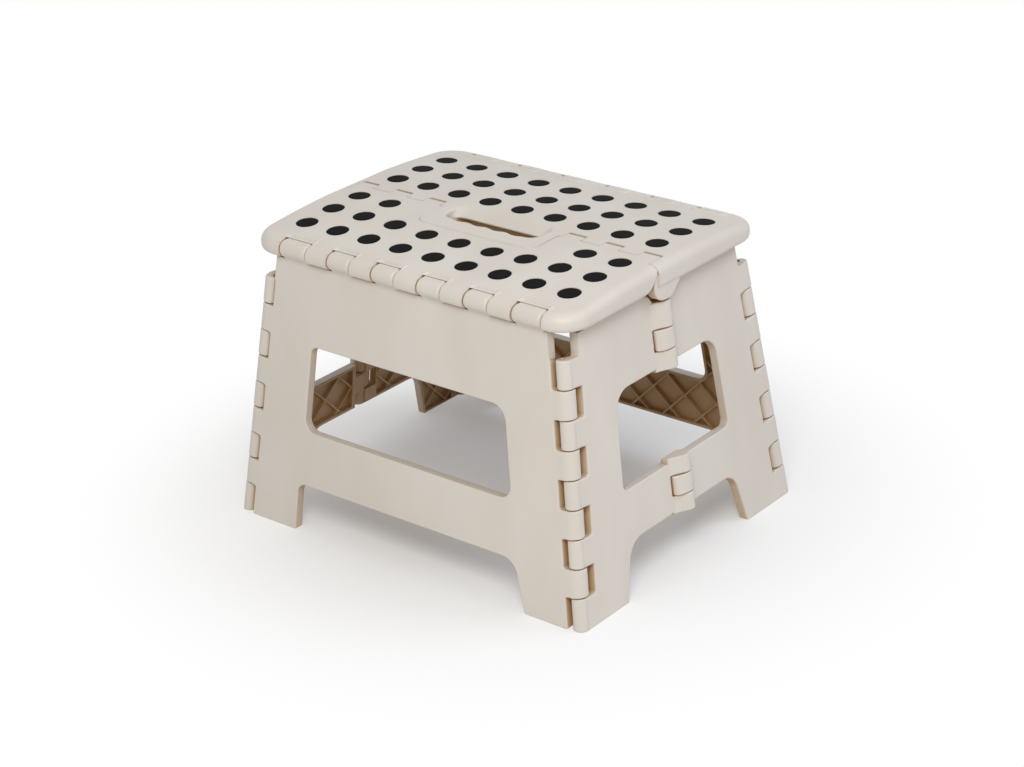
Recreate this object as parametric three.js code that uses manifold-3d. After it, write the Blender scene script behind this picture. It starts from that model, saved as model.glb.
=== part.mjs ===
// Folding step stool: two hinged top plates, two long leg panels and two end panels that each
// fold inward on a centre hinge. Millimetres, +Z up, +X along the long side, floor at z = 0.
import * as THREE from "three";
import { mergeVertices } from "three/addons/utils/BufferGeometryUtils.js";
import Module from "manifold-3d";

const wasm = await Module();
wasm.setup();

// Overall sizes
const topHeight = 212;
const topLength = 274;
const topCornerRadius = 22;
const crownDropRate = 0.00055;
const crownFlatHalf = 30;
const crownFacetHalf = 60;
const rimThickness = 16.8;
const rimRoundWidth = 7;
const rimRoundHeight = 6.5;
const rimUnderRound = 4;
const outerHingeOffset = 100.5;
const barrelRadius = 6;
const centreHingeDrop = 11.1;
const longPanelTilt = THREE.MathUtils.degToRad(6.2);
const endPanelTilt = THREE.MathUtils.degToRad(7.29);
const endFaceOffset = 126.6;

// Walls and clearances
const partGap = 0.4;
const pinGap = 0.3;
const swingGap = 0.7;
const skinWall = 3;
const faceWall = 2.5;
const sideWall = 2.2;
const rimWidth = 9;
const longPanelDepth = 6.6;
const endPanelDepth = 6.6;
const ribWall = 1.6;
const ribDepth = 3.4;
const ribSpacing = 42;
const plateRibDepth = 6;
const plateRibColumns = [0, 2, 5, 7];
const ribSeat = 1;
const overrun = 5;

// Hinge rods and pins
const rodRadius = 2;
const rodEndCover = 2;
const pinRadius = 1.4;

// Outer hinge knuckles, which lie at the same places along both long panels
const knuckleCount = 6;
const knucklePitch = 39;
const knuckleWidth = 19.6;
const outerKnuckleExtra = 3.8;
const knuckleShift = 2.5;
const tongueReach = 7;
const tongueHeight = 6.2;
const panelTopGap = 1.2;
const knuckleRoot = 4.5;
const rodOverhang = 3;

// Corner hinge barrels
const cornerRadius = 7;
const cornerCount = 9;
const cornerTopHeight = 178.8;
const cornerPitch = 19.6;
const cornerPocketGap = 0.5;
const cornerAxialGap = 0.5;
const endPanelNeck = 8;

// Centre hinge of the top
const centreFingersPerSide = 3;
const centreFingerPitch = 30.5;
const centreFingerWidth = 14.4;
const centreFingerFirst = 60.4;
const centreFingerReach = 4;
const centreBarrelRadius = 6;
const centreWebReach = 18;
const centreSolidHalf = 11.2;

// Ears of the rear plate at both ends of the centre hinge, as points [across, up from the rim's
// underside]. The lower corner of the front plate is rounded where they turn.
const earInset = 1;
const earSeam = 12;
const earOutline = [
  [-12, 11], [-15.2, 8.4], [-16, 4.4], [-15, -1.6], [-12.4, -5.8], [-8, -8.4],
  [-1, -9.3], [4.4, -7.8], [8.8, -3.6], [12, 0], [12.4, 3],
];
const earRelief = [
  [-12.4, 14], [-15.8, 9.6], [-20.2, 4.8], [-25.4, 1.4], [-30, 0],
];

// Handle
const handleHalfWidth = 50;
const handleReach = 33;
const handleCornerRadius = 7;
const slotHalfWidth = 40;
const slotFront = 18;
const slotBack = 8;
const slotThroatBack = 3;
const slotThroatDepth = 9;
const slotCornerRadius = 9;
const waveCount = 4;
const wavePitch = 16;
const waveRadius = 9;
const waveDepth = 1.6;

// Window and arch of the long panels
const longWindowTop = 136.5;
const longWindowBottom = 74.5;
const longWindowTopHalf = 83;
const longWindowBottomHalf = 91;
const longArchTop = 34.5;
const longArchTopHalf = 95;
const longArchFloorHalf = 100.5;
const windowCornerRadius = 10;

// Window and arch of the end panels
const endWindowTop = 139.5;
const endWindowBottom = 75;
const endWindowTopHalf = 53;
const endWindowBottomHalf = 57;
const endArchTop = 38.5;
const endArchTopHalf = 60;
const endArchFloorHalf = 67;
const endCornerRadius = 12;
const endPanelTop = 191;
const endNotchTop = 180.5;
const endNotchHalf = 13;
const endNotchSlopeHalf = 22;

// Centre hinges of the end panels, each a middle knuckle between two others
const endKnuckleRadius = 6;
const endKnuckleProud = 0.4;
const endKnucklePocket = 10;
const endKnuckleAxialGap = 0.5;
const endKnuckleHeights = [[178.5, 165.5, 151, 137], [77, 64, 50, 37]];
const endSeamHalf = 0.8;
const pinReach = 10;

// The fold is left open at these hinges: the pins sit with play in the front knuckles, the upper
// pin first, in bores that lie to one side of it, as [outward, towards the middle]
const openPivotPlays = [1.4, 2.6];
const openPivotShifts = [[0.6, 0.6], [-0.6, -1.6]];

// Anti-slip grips
const gripPitch = 28;
const gripColumns = 9;
const gripRadius = 7.7;
const gripProud = 0.1;
const gripRows = [20.3, 46.9, 73.5];
const gripRunnerWidth = 5;
const gripRunnerHeight = 1.6;
const gripPairColumns = 2;

// Facets of round shapes
const barrelSides = 12;
const notchSides = 16;
const rodSides = 8;
const gripSides = 10;
const cornerSteps = 5;
const rimSteps = 3;
const rimUnderSteps = 2;
const filletSteps = 2;
const arcStep = THREE.MathUtils.degToRad(22.5);

// Sizes that follow from the ones above
const quarterTurn = Math.PI / 2;
const topHalfLength = topLength / 2;
const topHalfDepth = outerHingeOffset + barrelRadius;
const hingeHeight = crownHeight(outerHingeOffset) - barrelRadius;
const centreHeight = hingeHeight - centreHingeDrop;
const plateBottom = topHeight - rimThickness;
const cavityReach = outerHingeOffset - tongueReach - partGap - skinWall;
const cornerAxisX = endFaceOffset - cornerRadius / Math.cos(endPanelTilt);
const cornerAxisY = outerHingeOffset - cornerRadius / Math.cos(longPanelTilt);
const longSideSlope = Math.tan(endPanelTilt) * Math.cos(longPanelTilt);
const endSideSlope = Math.tan(longPanelTilt) * Math.cos(endPanelTilt);
const cornerInset = cornerRadius + cornerPocketGap;
const cornerStretch = Math.hypot(1, Math.tan(endPanelTilt), Math.tan(longPanelTilt));
const rodHole = holeRadius(rodRadius + pinGap, rodSides);

const beige = { color: 0xd2c8bc, roughness: 0.6, metalness: 0 };
const black = { color: 0x101112, roughness: 0.75, metalness: 0 };
const steel = { color: 0xa8a8a8, roughness: 0.35, metalness: 1 };

// Height of the crowned top surface at a distance from the centre line
function crownHeight(distance) {
  return topHeight - crownDropRate * Math.max(0, distance * distance - crownFlatHalf * crownFlatHalf);
}

// Solids from three.js geometry, and back
function toSolid(geometry) {
  const bare = geometry.index ? geometry.toNonIndexed() : geometry.clone();
  bare.deleteAttribute("normal");
  bare.deleteAttribute("uv");
  const merged = mergeVertices(bare);
  const vertProperties = merged.attributes.position.array;
  const triVerts = Uint32Array.from(merged.index.array);
  return new wasm.Manifold(new wasm.Mesh({ numProp: 3, vertProperties, triVerts }));
}

function toGeometry(solid) {
  const mesh = solid.getMesh();
  const geometry = new THREE.BufferGeometry();
  geometry.setAttribute("position", new THREE.BufferAttribute(mesh.vertProperties, mesh.numProp));
  geometry.setIndex(new THREE.BufferAttribute(mesh.triVerts, 1));
  geometry.computeVertexNormals();
  return geometry;
}

function joined(solids) {
  return solids.reduce((whole, solid) => whole.add(solid));
}

function cut(solid, cutters) {
  return cutters.reduce((whole, cutter) => whole.subtract(cutter), solid);
}

function degrees(angle) {
  return THREE.MathUtils.radToDeg(angle);
}

function outline(points) {
  return new THREE.Shape(points.map(([across, up]) => new THREE.Vector2(across, up)));
}

// A closed outline whose corners are rounded, each point being [across, up, radius]
function roundedOutline(corners) {
  const shape = new THREE.Shape();
  corners.forEach(([across, up, radius], index) => {
    const corner = new THREE.Vector2(across, up);
    const before = corners[(index + corners.length - 1) % corners.length];
    const after = corners[(index + 1) % corners.length];
    const toBefore = new THREE.Vector2(before[0], before[1]).sub(corner).setLength(radius);
    const toAfter = new THREE.Vector2(after[0], after[1]).sub(corner).setLength(radius);
    const start = corner.clone().add(toBefore);
    const end = corner.clone().add(toAfter);
    if (index === 0) shape.moveTo(start.x, start.y);
    else shape.lineTo(start.x, start.y);
    if (radius > 0) shape.quadraticCurveTo(corner.x, corner.y, end.x, end.y);
  });
  shape.closePath();
  return shape;
}

// Prisms along each axis. The shape's own axes are X and Y, Y and Z, or X and Z.
const [unitX, unitY, unitZ] = [0, 1, 2].map((axis) => new THREE.Vector3().setComponent(axis, 1));
const alongX = new THREE.Matrix4().makeBasis(unitY, unitZ, unitX).toArray();
const alongY = new THREE.Matrix4().makeBasis(unitX, unitZ, unitY.clone().negate()).toArray();

function prismAlongZ(shape, from, to) {
  const settings = { depth: to - from, bevelEnabled: false, curveSegments: filletSteps };
  return toSolid(new THREE.ExtrudeGeometry(shape, settings).translate(0, 0, from));
}

function prismAlongX(shape, from, to) {
  return prismAlongZ(shape, from, to).transform(alongX);
}

function prismAlongY(shape, from, to) {
  return prismAlongZ(shape, -to, -from).transform(alongY);
}

function block(x0, x1, y0, y1, z0, z1) {
  const geometry = new THREE.BoxGeometry(x1 - x0, y1 - y0, z1 - z0);
  return toSolid(geometry.translate((x0 + x1) / 2, (y0 + y1) / 2, (z0 + z1) / 2));
}

function rodAlongX(radius, from, to, y, z, sides = barrelSides) {
  const geometry = new THREE.CylinderGeometry(radius, radius, to - from, sides);
  return toSolid(geometry.rotateZ(quarterTurn).translate((from + to) / 2, y, z));
}

// The radius of a round hole, grown so that its flats stay clear of what turns in it
function holeRadius(radius, sides) {
  return radius / Math.cos(Math.PI / sides);
}

function rodAlongZ(radius, from, to, x, y, sides = barrelSides) {
  const geometry = new THREE.CylinderGeometry(radius, radius, to - from, sides);
  return toSolid(geometry.rotateX(quarterTurn).translate(x, y, (from + to) / 2));
}

// Crossing diagonal ribs that lie in a plane, with their depth along Z
function lattice(halfAcross, low, high, from, to) {
  const reach = halfAcross + (high - low) / 2;
  const step = ribSpacing * Math.SQRT2;
  const count = Math.ceil(reach / step);
  const bars = [];
  for (const turn of [1, -1]) {
    for (let index = -count; index <= count; index += 1) {
      const bar = new THREE.BoxGeometry(2 * Math.SQRT2 * reach, ribWall, to - from);
      bar.rotateZ(turn * quarterTurn / 2);
      bar.translate(index * step, (low + high) / 2, (from + to) / 2);
      bars.push(toSolid(bar));
    }
  }
  return joined(bars);
}

// Plan outline of the top as points with the direction that each faces
function planOutline() {
  const points = [];
  const centreX = topHalfLength - topCornerRadius;
  const centreY = topHalfDepth - topCornerRadius;
  const sideDistances = [crownFlatHalf, crownFacetHalf];
  for (const side of [0, 1]) {
    const sign = side === 0 ? 1 : -1;
    const sideRun = [...sideDistances.map((y) => -y).reverse(), ...sideDistances];
    sideRun.forEach((y) => points.push({ x: sign * topHalfLength, y: sign * y, facing: side * Math.PI }));
    for (const corner of [0, 1]) {
      for (let step = 0; step <= cornerSteps; step += 1) {
        const facing = side * Math.PI + corner * quarterTurn + step * quarterTurn / cornerSteps;
        const middleX = corner === 0 ? sign * centreX : -sign * centreX;
        const x = middleX + topCornerRadius * Math.cos(facing);
        const y = sign * centreY + topCornerRadius * Math.sin(facing);
        points.push({ x, y, facing });
      }
    }
  }
  return points;
}

// Both top plates as one closed solid with a crowned surface and a rounded rim
function closedTop() {
  const points = planOutline();
  const rings = [];
  const addRing = (inset, heightOf) => {
    rings.push(points.map((point) => new THREE.Vector3(
      point.x - inset * Math.cos(point.facing),
      point.y - inset * Math.sin(point.facing),
      heightOf(point))));
  };
  for (let step = rimSteps; step >= 0; step -= 1) {
    const angle = quarterTurn * step / rimSteps;
    const drop = rimRoundHeight * (1 - Math.sin(angle));
    const flatEdge = (point) => crownHeight(point.y - rimRoundWidth * Math.sin(point.facing));
    addRing(rimRoundWidth * (1 - Math.cos(angle)), (point) => flatEdge(point) - drop);
  }
  for (let step = 0; step <= rimUnderSteps; step += 1) {
    const angle = quarterTurn * step / rimUnderSteps;
    const rise = rimUnderRound * (1 - Math.sin(angle));
    addRing(rimUnderRound * (1 - Math.cos(angle)), () => plateBottom + rise);
  }
  const positions = [];
  const triangle = (...corners) => corners.forEach((corner) => positions.push(...corner.toArray()));
  const count = points.length;
  for (let level = 0; level + 1 < rings.length; level += 1) {
    const [above, below] = [rings[level], rings[level + 1]];
    for (let index = 0; index < count; index += 1) {
      const next = (index + 1) % count;
      triangle(above[index], below[index], below[next]);
      triangle(above[index], below[next], above[next]);
    }
  }
  // The caps run in strips between points that lie at the same depth on the two ends
  const half = count / 2;
  const sideCount = half - 2 * (cornerSteps + 1);
  const pairs = [];
  for (let step = -cornerSteps - 1; step < sideCount + cornerSteps + 1; step += 1) {
    pairs.push([(step + count) % count, (half + sideCount - 1 - step + count) % count]);
  }
  const cap = (ring, facesUp) => {
    for (let index = 0; index + 1 < pairs.length; index += 1) {
      const [right, left] = pairs[index].map((place) => ring[place]);
      const [nextRight, nextLeft] = pairs[index + 1].map((place) => ring[place]);
      triangle(right, facesUp ? nextRight : nextLeft, facesUp ? nextLeft : nextRight);
      triangle(right, facesUp ? nextLeft : left, facesUp ? left : nextLeft);
    }
  };
  cap(rings[0], true);
  cap(rings[rings.length - 1], false);
  const geometry = new THREE.BufferGeometry();
  geometry.setAttribute("position", new THREE.Float32BufferAttribute(positions, 3));
  return toSolid(geometry);
}

// Spans along X of the centre fingers that belong to the front plate, on the right-hand side
function frontFingerSpans() {
  const spans = [];
  for (let index = 0; index < centreFingersPerSide; index += 1) {
    const middle = centreFingerFirst + index * centreFingerPitch;
    spans.push([middle - centreFingerWidth / 2, middle + centreFingerWidth / 2]);
  }
  return spans;
}

// The rear plate's fingers lie between them, and its ear closes the row
function rearFingerSpans() {
  const front = frontFingerSpans();
  return front.map(([, end], index) => {
    const next = front[index + 1];
    return [end + partGap, next ? next[0] - partGap : topHalfLength - earInset];
  });
}

// Spans along X of a long panel's knuckles, of which the outer two are wider. Side 1 is the rear
// one, whose own X axis runs the other way.
function knuckleSpans(side) {
  const spans = [];
  const last = knuckleCount - 1;
  for (let index = 0; index <= last; index += 1) {
    const middle = (index - last / 2) * knucklePitch - side * knuckleShift;
    const from = middle - knuckleWidth / 2 - (index === 0 ? outerKnuckleExtra : 0);
    spans.push([from, middle + knuckleWidth / 2 + (index === last ? outerKnuckleExtra : 0)]);
  }
  return spans;
}

function bothSides(solid) {
  return solid.add(solid.mirror([1, 0, 0]));
}

function widened([from, to], gap) {
  return [from - gap, to + gap];
}

// Barrels and webs that carry a plate on the centre rods. Side is -1 for the front plate.
function centreKnuckles(side, spans) {
  const rise = Math.sqrt(centreBarrelRadius ** 2 - centreFingerReach ** 2);
  const lean = centreBarrelRadius * Math.SQRT1_2;
  const web = outline([
    [side * centreWebReach, plateBottom],
    [side * lean, centreHeight - lean],
    [-side * centreFingerReach, centreHeight + rise],
    [-side * centreFingerReach, plateBottom + skinWall],
    [side * centreWebReach, plateBottom + skinWall],
  ]);
  const pieces = spans.map(([from, to]) => {
    const barrel = rodAlongX(centreBarrelRadius, from, to, 0, centreHeight);
    return barrel.add(prismAlongX(web, from, to));
  });
  return bothSides(joined(pieces));
}

// Room round the centre rods for the other plate's barrels
function centreClearance(spans, radius) {
  return bothSides(joined(spans.map((span) => {
    const [from, to] = widened(span, partGap);
    return rodAlongX(holeRadius(radius + swingGap, notchSides), from, to, 0, centreHeight, notchSides);
  })));
}

function centreBore() {
  const from = handleHalfWidth + skinWall;
  return bothSides(rodAlongX(rodHole, from, topHalfLength - earInset - rodEndCover, 0, centreHeight, rodSides));
}

// Notches for one long panel's knuckles, with the bore of the hinge rod. The rear ones are turned.
function outerNotches(side) {
  const reach = holeRadius(tongueReach + partGap, notchSides);
  const spans = knuckleSpans(side).map((span) => widened(span, partGap));
  const first = spans[0][0] - rodOverhang;
  const last = spans[spans.length - 1][1] + rodOverhang;
  const notches = spans.map(([from, to]) => (
    rodAlongX(reach, from, to, -outerHingeOffset, hingeHeight, notchSides)));
  notches.push(rodAlongX(rodHole, first, last, -outerHingeOffset, hingeHeight, rodSides));
  const whole = joined(notches);
  return side < 0 ? whole : whole.rotate([0, 0, 180]);
}

// The plate's own barrels round the outer hinge rod, before the notches part them
function outerBarrels(side) {
  const spans = knuckleSpans(side);
  const [first, last] = [spans[0][0] - rodEndCover, spans[spans.length - 1][1] + rodEndCover];
  const barrel = rodAlongX(barrelRadius, first, last, -outerHingeOffset, hingeHeight, notchSides);
  return side < 0 ? barrel : barrel.rotate([0, 0, 180]);
}

// Hollow underside of a plate, whose roof follows the crown
function plateCavity(side, grow) {
  const [inner, outer] = [centreSolidHalf - grow, cavityReach + grow];
  const reaches = [inner, crownFlatHalf, crownFacetHalf, outer];
  const roof = reaches.map((reach) => [side * reach, crownHeight(reach) - skinWall + grow]);
  const low = plateBottom - overrun;
  const section = outline([[side * inner, low], ...roof, [side * outer, low]]);
  const half = topHalfLength - rimWidth + grow;
  const corner = topCornerRadius / 2;
  const plan = roundedOutline([
    [-half, side * inner, 0],
    [half, side * inner, 0],
    [half, side * outer, corner],
    [-half, side * outer, corner],
  ]);
  const whole = prismAlongX(section, -half, half);
  return whole.intersect(prismAlongZ(plan, low, topHeight));
}

function gripColumnsOf(row, side) {
  const all = [...Array(gripColumns).keys()];
  const isPairRow = side < 0 && row === gripRows[0];
  if (!isPairRow) return [all];
  return [all.slice(0, gripPairColumns), all.slice(-gripPairColumns)];
}

function columnX(column) {
  return (column - (gripColumns - 1) / 2) * gripPitch;
}

function gripSlope(row) {
  return row > crownFlatHalf ? Math.atan(2 * crownDropRate * row) : 0;
}

function gripRunnerTop(row) {
  return crownHeight(row + gripRadius) - skinWall - pinGap;
}

// One disc, square to the crowned surface, or the hole that it fills
function gripDisc(column, side, row, radius, below, above) {
  const disc = new THREE.CylinderGeometry(radius, radius, below + above, gripSides);
  disc.rotateX(quarterTurn).translate(0, 0, (above - below) / 2);
  disc.rotateX(-side * gripSlope(row));
  return toSolid(disc.translate(columnX(column), side * row, crownHeight(row)));
}

// A row of discs moulded as one piece with the runner under the skin
function gripStrip(side, row, columns) {
  const runnerTop = gripRunnerTop(row);
  const runnerBottom = runnerTop - gripRunnerHeight;
  const below = crownHeight(row) - runnerTop + gripRunnerHeight / 2;
  const discs = columns.map((column) => gripDisc(column, side, row, gripRadius, below, gripProud));
  const [first, last] = [columnX(columns[0]), columnX(columns[columns.length - 1])];
  const halfWidth = gripRunnerWidth / 2;
  const runner = block(first, last, side * row - halfWidth, side * row + halfWidth, runnerBottom, runnerTop);
  return joined([...discs, runner]);
}

function gripOpenings(side) {
  const cutters = [];
  for (const row of gripRows) {
    for (const columns of gripColumnsOf(row, side)) {
      columns.forEach((column) => cutters.push(
        gripDisc(column, side, row, gripRadius + pinGap, skinWall + overrun, overrun)));
    }
  }
  return joined(cutters);
}

// Stiffening ribs under a plate, between the columns and the rows of grips
function plateRibs(side) {
  const ribs = [];
  const half = ribWall / 2;
  for (const column of plateRibColumns) {
    const x = columnX(column) + gripPitch / 2;
    ribs.push(block(x - half, x + half, -topHalfDepth, topHalfDepth, plateBottom, topHeight));
  }
  for (let row = 0; row + 1 < gripRows.length; row += 1) {
    const y = side * (gripRows[row] + gripRows[row + 1]) / 2;
    ribs.push(block(-topHalfLength, topHalfLength, y - half, y + half, plateBottom, topHeight));
  }
  const depth = skinWall + plateRibDepth;
  const reaches = [0, crownFlatHalf, crownFacetHalf, topHalfDepth];
  const section = outline([
    ...reaches.map((reach) => [side * reach, crownHeight(reach) - depth]),
    [side * topHalfDepth, topHeight],
    [0, topHeight],
  ]);
  const band = prismAlongX(section, -topHalfLength, topHalfLength);
  const channels = gripRows.map((row) => {
    const halfWidth = gripRunnerWidth / 2 + partGap;
    const low = gripRunnerTop(row) - gripRunnerHeight - partGap;
    const high = crownHeight(row + gripRadius) - skinWall;
    return block(-topHalfLength, topHalfLength, side * row - halfWidth, side * row + halfWidth, low, high);
  });
  return cut(joined(ribs).intersect(band), channels);
}

function tonguePlan(gap) {
  const half = handleHalfWidth + gap;
  const reach = handleReach + gap;
  return roundedOutline([
    [half, overrun, 0],
    [-half, overrun, 0],
    [-half, -reach, handleCornerRadius],
    [half, -reach, handleCornerRadius],
  ]);
}

// The hand slot: a throat with finger waves on its near side and a sloping far wall
function handSlot() {
  const section = outline([
    [-slotFront, plateBottom - overrun],
    [-slotFront, topHeight + overrun],
    [slotBack, topHeight + overrun],
    [slotBack, topHeight],
    [-slotThroatBack, topHeight - slotThroatDepth],
    [-slotThroatBack, plateBottom - overrun],
  ]);
  const plan = roundedOutline([
    [-slotHalfWidth, -slotFront, slotCornerRadius],
    [slotHalfWidth, -slotFront, slotCornerRadius],
    [slotHalfWidth, slotBack, slotCornerRadius],
    [-slotHalfWidth, slotBack, slotCornerRadius],
  ]);
  const low = plateBottom - overrun;
  const high = topHeight + overrun;
  const slot = prismAlongX(section, -slotHalfWidth, slotHalfWidth).intersect(prismAlongZ(plan, low, high));
  const waves = [...Array(waveCount).keys()].map((index) => {
    const x = (index - (waveCount - 1) / 2) * wavePitch;
    return rodAlongZ(waveRadius, low, high, x, waveRadius - slotFront - waveDepth);
  });
  const nearHalf = block(-slotHalfWidth, slotHalfWidth, -slotFront - waveDepth, -slotThroatBack, low, high);
  return slot.add(joined(waves).intersect(nearHalf));
}

function earSection(points) {
  return points.map(([across, up]) => [across, plateBottom + up]);
}

function topFrontPlate(whole) {
  const low = 0;
  const high = topHeight + overrun;
  const far = topHalfDepth + overrun;
  const fingers = frontFingerSpans();
  const earStart = fingers[fingers.length - 1][1];
  const region = joined([
    block(-earStart, earStart, -far, -centreFingerReach - partGap, low, high),
    block(-topHalfLength, topHalfLength, -far, -earSeam - partGap, low, high),
    bothSides(joined(fingers.map(([from, to]) => block(from, to, -far, centreFingerReach, low, high)))),
  ]);
  const hollow = plateCavity(-1, 0).subtract(prismAlongZ(tonguePlan(partGap + skinWall), low, high));
  const shell = whole.intersect(region).subtract(hollow).add(outerBarrels(-1));
  const relief = outline([...earSection(earRelief), [0, plateBottom - overrun], [0, topHeight]]);
  const body = shell.add(plateRibs(-1).intersect(plateCavity(-1, ribSeat)));
  const cleared = cut(body, [
    bothSides(prismAlongX(relief, earStart, topHalfLength + overrun)),
    centreClearance(rearFingerSpans().slice(0, -1), centreBarrelRadius),
    prismAlongZ(tonguePlan(partGap), low, high),
    outerNotches(-1),
    gripOpenings(-1),
  ]);
  return cleared.add(centreKnuckles(-1, fingers)).subtract(centreBore());
}

function topRearPlate(whole) {
  const low = 0;
  const high = topHeight + overrun;
  const far = topHalfDepth + overrun;
  const fingers = frontFingerSpans().map((span) => widened(span, partGap));
  const spans = rearFingerSpans();
  const [earStart, earEnd] = spans[spans.length - 1];
  const gaps = bothSides(joined(fingers.map(([from, to]) => (
    block(from, to, -far, centreFingerReach + partGap, low, high)))));
  const region = joined([
    block(-earStart, earStart, -centreFingerReach, far, low, high).subtract(gaps),
    bothSides(block(earStart, topHalfLength, -earSeam, far, low, high)),
    prismAlongZ(tonguePlan(0), low, high),
  ]);
  const shell = whole.intersect(region).subtract(plateCavity(1, 0)).add(outerBarrels(1));
  const ear = prismAlongX(outline(earSection(earOutline)), earStart, earEnd);
  const body = shell.add(plateRibs(1).intersect(plateCavity(1, ribSeat)));
  const cleared = cut(body, [
    centreClearance(frontFingerSpans(), centreBarrelRadius),
    outerNotches(1),
    gripOpenings(1),
    handSlot(),
  ]);
  const knuckles = centreKnuckles(1, spans.slice(0, -1));
  return joined([cleared, knuckles, bothSides(ear)]).subtract(centreBore());
}

// Distances along a tilted panel, or along a corner axis, from the level of the outer hinges
function alongLongPanel(height) {
  return (height - hingeHeight) / Math.cos(longPanelTilt);
}

function alongEndPanel(height) {
  return (height - hingeHeight) / Math.cos(endPanelTilt);
}

function alongCorner(height) {
  return (height - hingeHeight) * cornerStretch;
}

// A window or an arch with straight leaning sides, grown by a wall when asked
function trapezoid(top, bottom, topHalf, bottomHalf, radius, along, grow = 0) {
  return roundedOutline([
    [-topHalf - grow, along(top) + grow, radius],
    [topHalf + grow, along(top) + grow, radius],
    [bottomHalf + grow, along(bottom) - grow, radius],
    [-bottomHalf - grow, along(bottom) - grow, radius],
  ]);
}

function longOpenings(grow) {
  const [top, low] = [longArchTop, -longArchTop];
  const spread = 2 * longArchFloorHalf - longArchTopHalf;
  return [
    trapezoid(longWindowTop, longWindowBottom, longWindowTopHalf, longWindowBottomHalf,
      windowCornerRadius, alongLongPanel, grow),
    trapezoid(top, low, longArchTopHalf, spread, windowCornerRadius, alongLongPanel, grow),
  ];
}

function endOpenings(grow) {
  const [top, low] = [endArchTop, -endArchTop];
  const spread = 2 * endArchFloorHalf - endArchTopHalf;
  return [
    trapezoid(endWindowTop, endWindowBottom, endWindowTopHalf, endWindowBottomHalf,
      endCornerRadius, alongEndPanel, grow),
    trapezoid(top, low, endArchTopHalf, spread, endCornerRadius, alongEndPanel, grow),
  ];
}

// Heights where the corner barrels meet. The ones with an even place belong to the end panels.
function cornerRange(index, gap) {
  const top = alongCorner(cornerTopHeight - index * cornerPitch);
  const isLast = index === cornerCount - 1;
  const bottom = isLast ? alongCorner(-cornerPitch) : alongCorner(cornerTopHeight - (index + 1) * cornerPitch);
  return [bottom + gap, top - gap];
}

function cornerBarrels(parity) {
  const barrels = [];
  for (let index = parity; index < cornerCount; index += 2) {
    const [low, high] = cornerRange(index, cornerAxialGap / 2);
    barrels.push(rodAlongZ(cornerRadius, low, high, 0, 0));
  }
  return joined(barrels);
}

function cornerBore() {
  return rodAlongZ(rodHole, alongCorner(0) - overrun, alongCorner(cornerTopHeight) + overrun, 0, 0, rodSides);
}

function cornerRod() {
  const low = alongCorner(rodEndCover);
  return rodAlongZ(rodRadius, low, alongCorner(cornerTopHeight - rodEndCover), 0, 0, rodSides);
}

// Moves what is made round a corner axis to its place on a long panel or on an end panel
function onLongPanel(solid, side) {
  const lean = degrees(Math.atan(longSideSlope));
  const placed = solid.rotate([0, -lean, 0]);
  const moved = placed.translate([cornerAxisX, cornerRadius, cornerRadius * Math.tan(longPanelTilt)]);
  return side > 0 ? moved : moved.mirror([1, 0, 0]);
}

function onEndPanel(solid) {
  const lean = degrees(Math.atan(endSideSlope));
  const placed = solid.rotate([-lean, 0, 0]);
  return placed.translate([-cornerRadius, -cornerAxisY, cornerRadius * Math.tan(endPanelTilt)]);
}

// One long panel, in its own frame: X along it, Y inward from the hinge axis, Z up its slope
function longPanel(side) {
  const panelTop = -barrelRadius - panelTopGap;
  const foot = alongLongPanel(0) - overrun;
  const baseLevel = cornerRadius * Math.tan(longPanelTilt);
  const edgeAt = (level, inset) => cornerAxisX - (level - baseLevel) * longSideSlope - inset;
  const sheet = (top, bottom, inset) => outline([
    [-edgeAt(top, inset), top],
    [edgeAt(top, inset), top],
    [edgeAt(bottom, inset), bottom],
    [-edgeAt(bottom, inset), bottom],
  ]);
  const slab = prismAlongY(sheet(panelTop, foot, 0), 0, longPanelDepth);
  const hollowTop = panelTop - knuckleRoot;
  const hollowFoot = alongLongPanel(0) + sideWall;
  const hollowShape = (grow, depth) => {
    const inset = cornerInset + sideWall - grow;
    const wide = prismAlongY(sheet(hollowTop + grow, hollowFoot - grow, inset), faceWall - grow, depth);
    const walls = longOpenings(sideWall - grow);
    return cut(wide, walls.map((shape) => prismAlongY(shape, 0, longPanelDepth + 2 * overrun)));
  };
  const hollow = hollowShape(0, longPanelDepth + overrun);
  const bars = lattice(edgeAt(foot, 0), foot, 0, -faceWall - ribDepth, -faceWall + ribSeat);
  const ribs = bars.transform(alongY).intersect(hollowShape(ribSeat, longPanelDepth));
  const cutters = longOpenings(0).map((shape) => prismAlongY(shape, -overrun, longPanelDepth + overrun));
  const shell = cut(slab.subtract(hollow).add(ribs), cutters);
  const knuckles = longKnuckles(side);
  const wideHalf = 2 * topHalfLength;
  const pockets = [];
  for (let index = 0; index < cornerCount; index += 2) {
    const [low, high] = cornerRange(index, -cornerAxialGap / 2);
    pockets.push(block(-cornerInset, wideHalf, -wideHalf, wideHalf, low, high));
  }
  const neckLow = cornerRange(0, 0)[1];
  pockets.push(block(-cornerInset, wideHalf, -wideHalf, wideHalf, neckLow, wideHalf));
  const corners = [-1, 1].map((side) => onLongPanel(joined(pockets), side));
  const barrels = [-1, 1].map((side) => onLongPanel(cornerBarrels(1), side));
  const bores = [-1, 1].map((side) => onLongPanel(cornerBore(), side));
  const body = joined([cut(shell, corners), ...barrels, knuckles]);
  const floor = block(-wideHalf, wideHalf, -wideHalf, wideHalf, -wideHalf, 0)
    .translate([0, 0, -hingeHeight]).rotate([degrees(longPanelTilt), 0, 0]);
  const rodBore = rodAlongX(rodHole, -topHalfLength, topHalfLength, 0, 0, rodSides);
  return cut(body, [...bores, floor, rodBore]);
}

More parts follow.
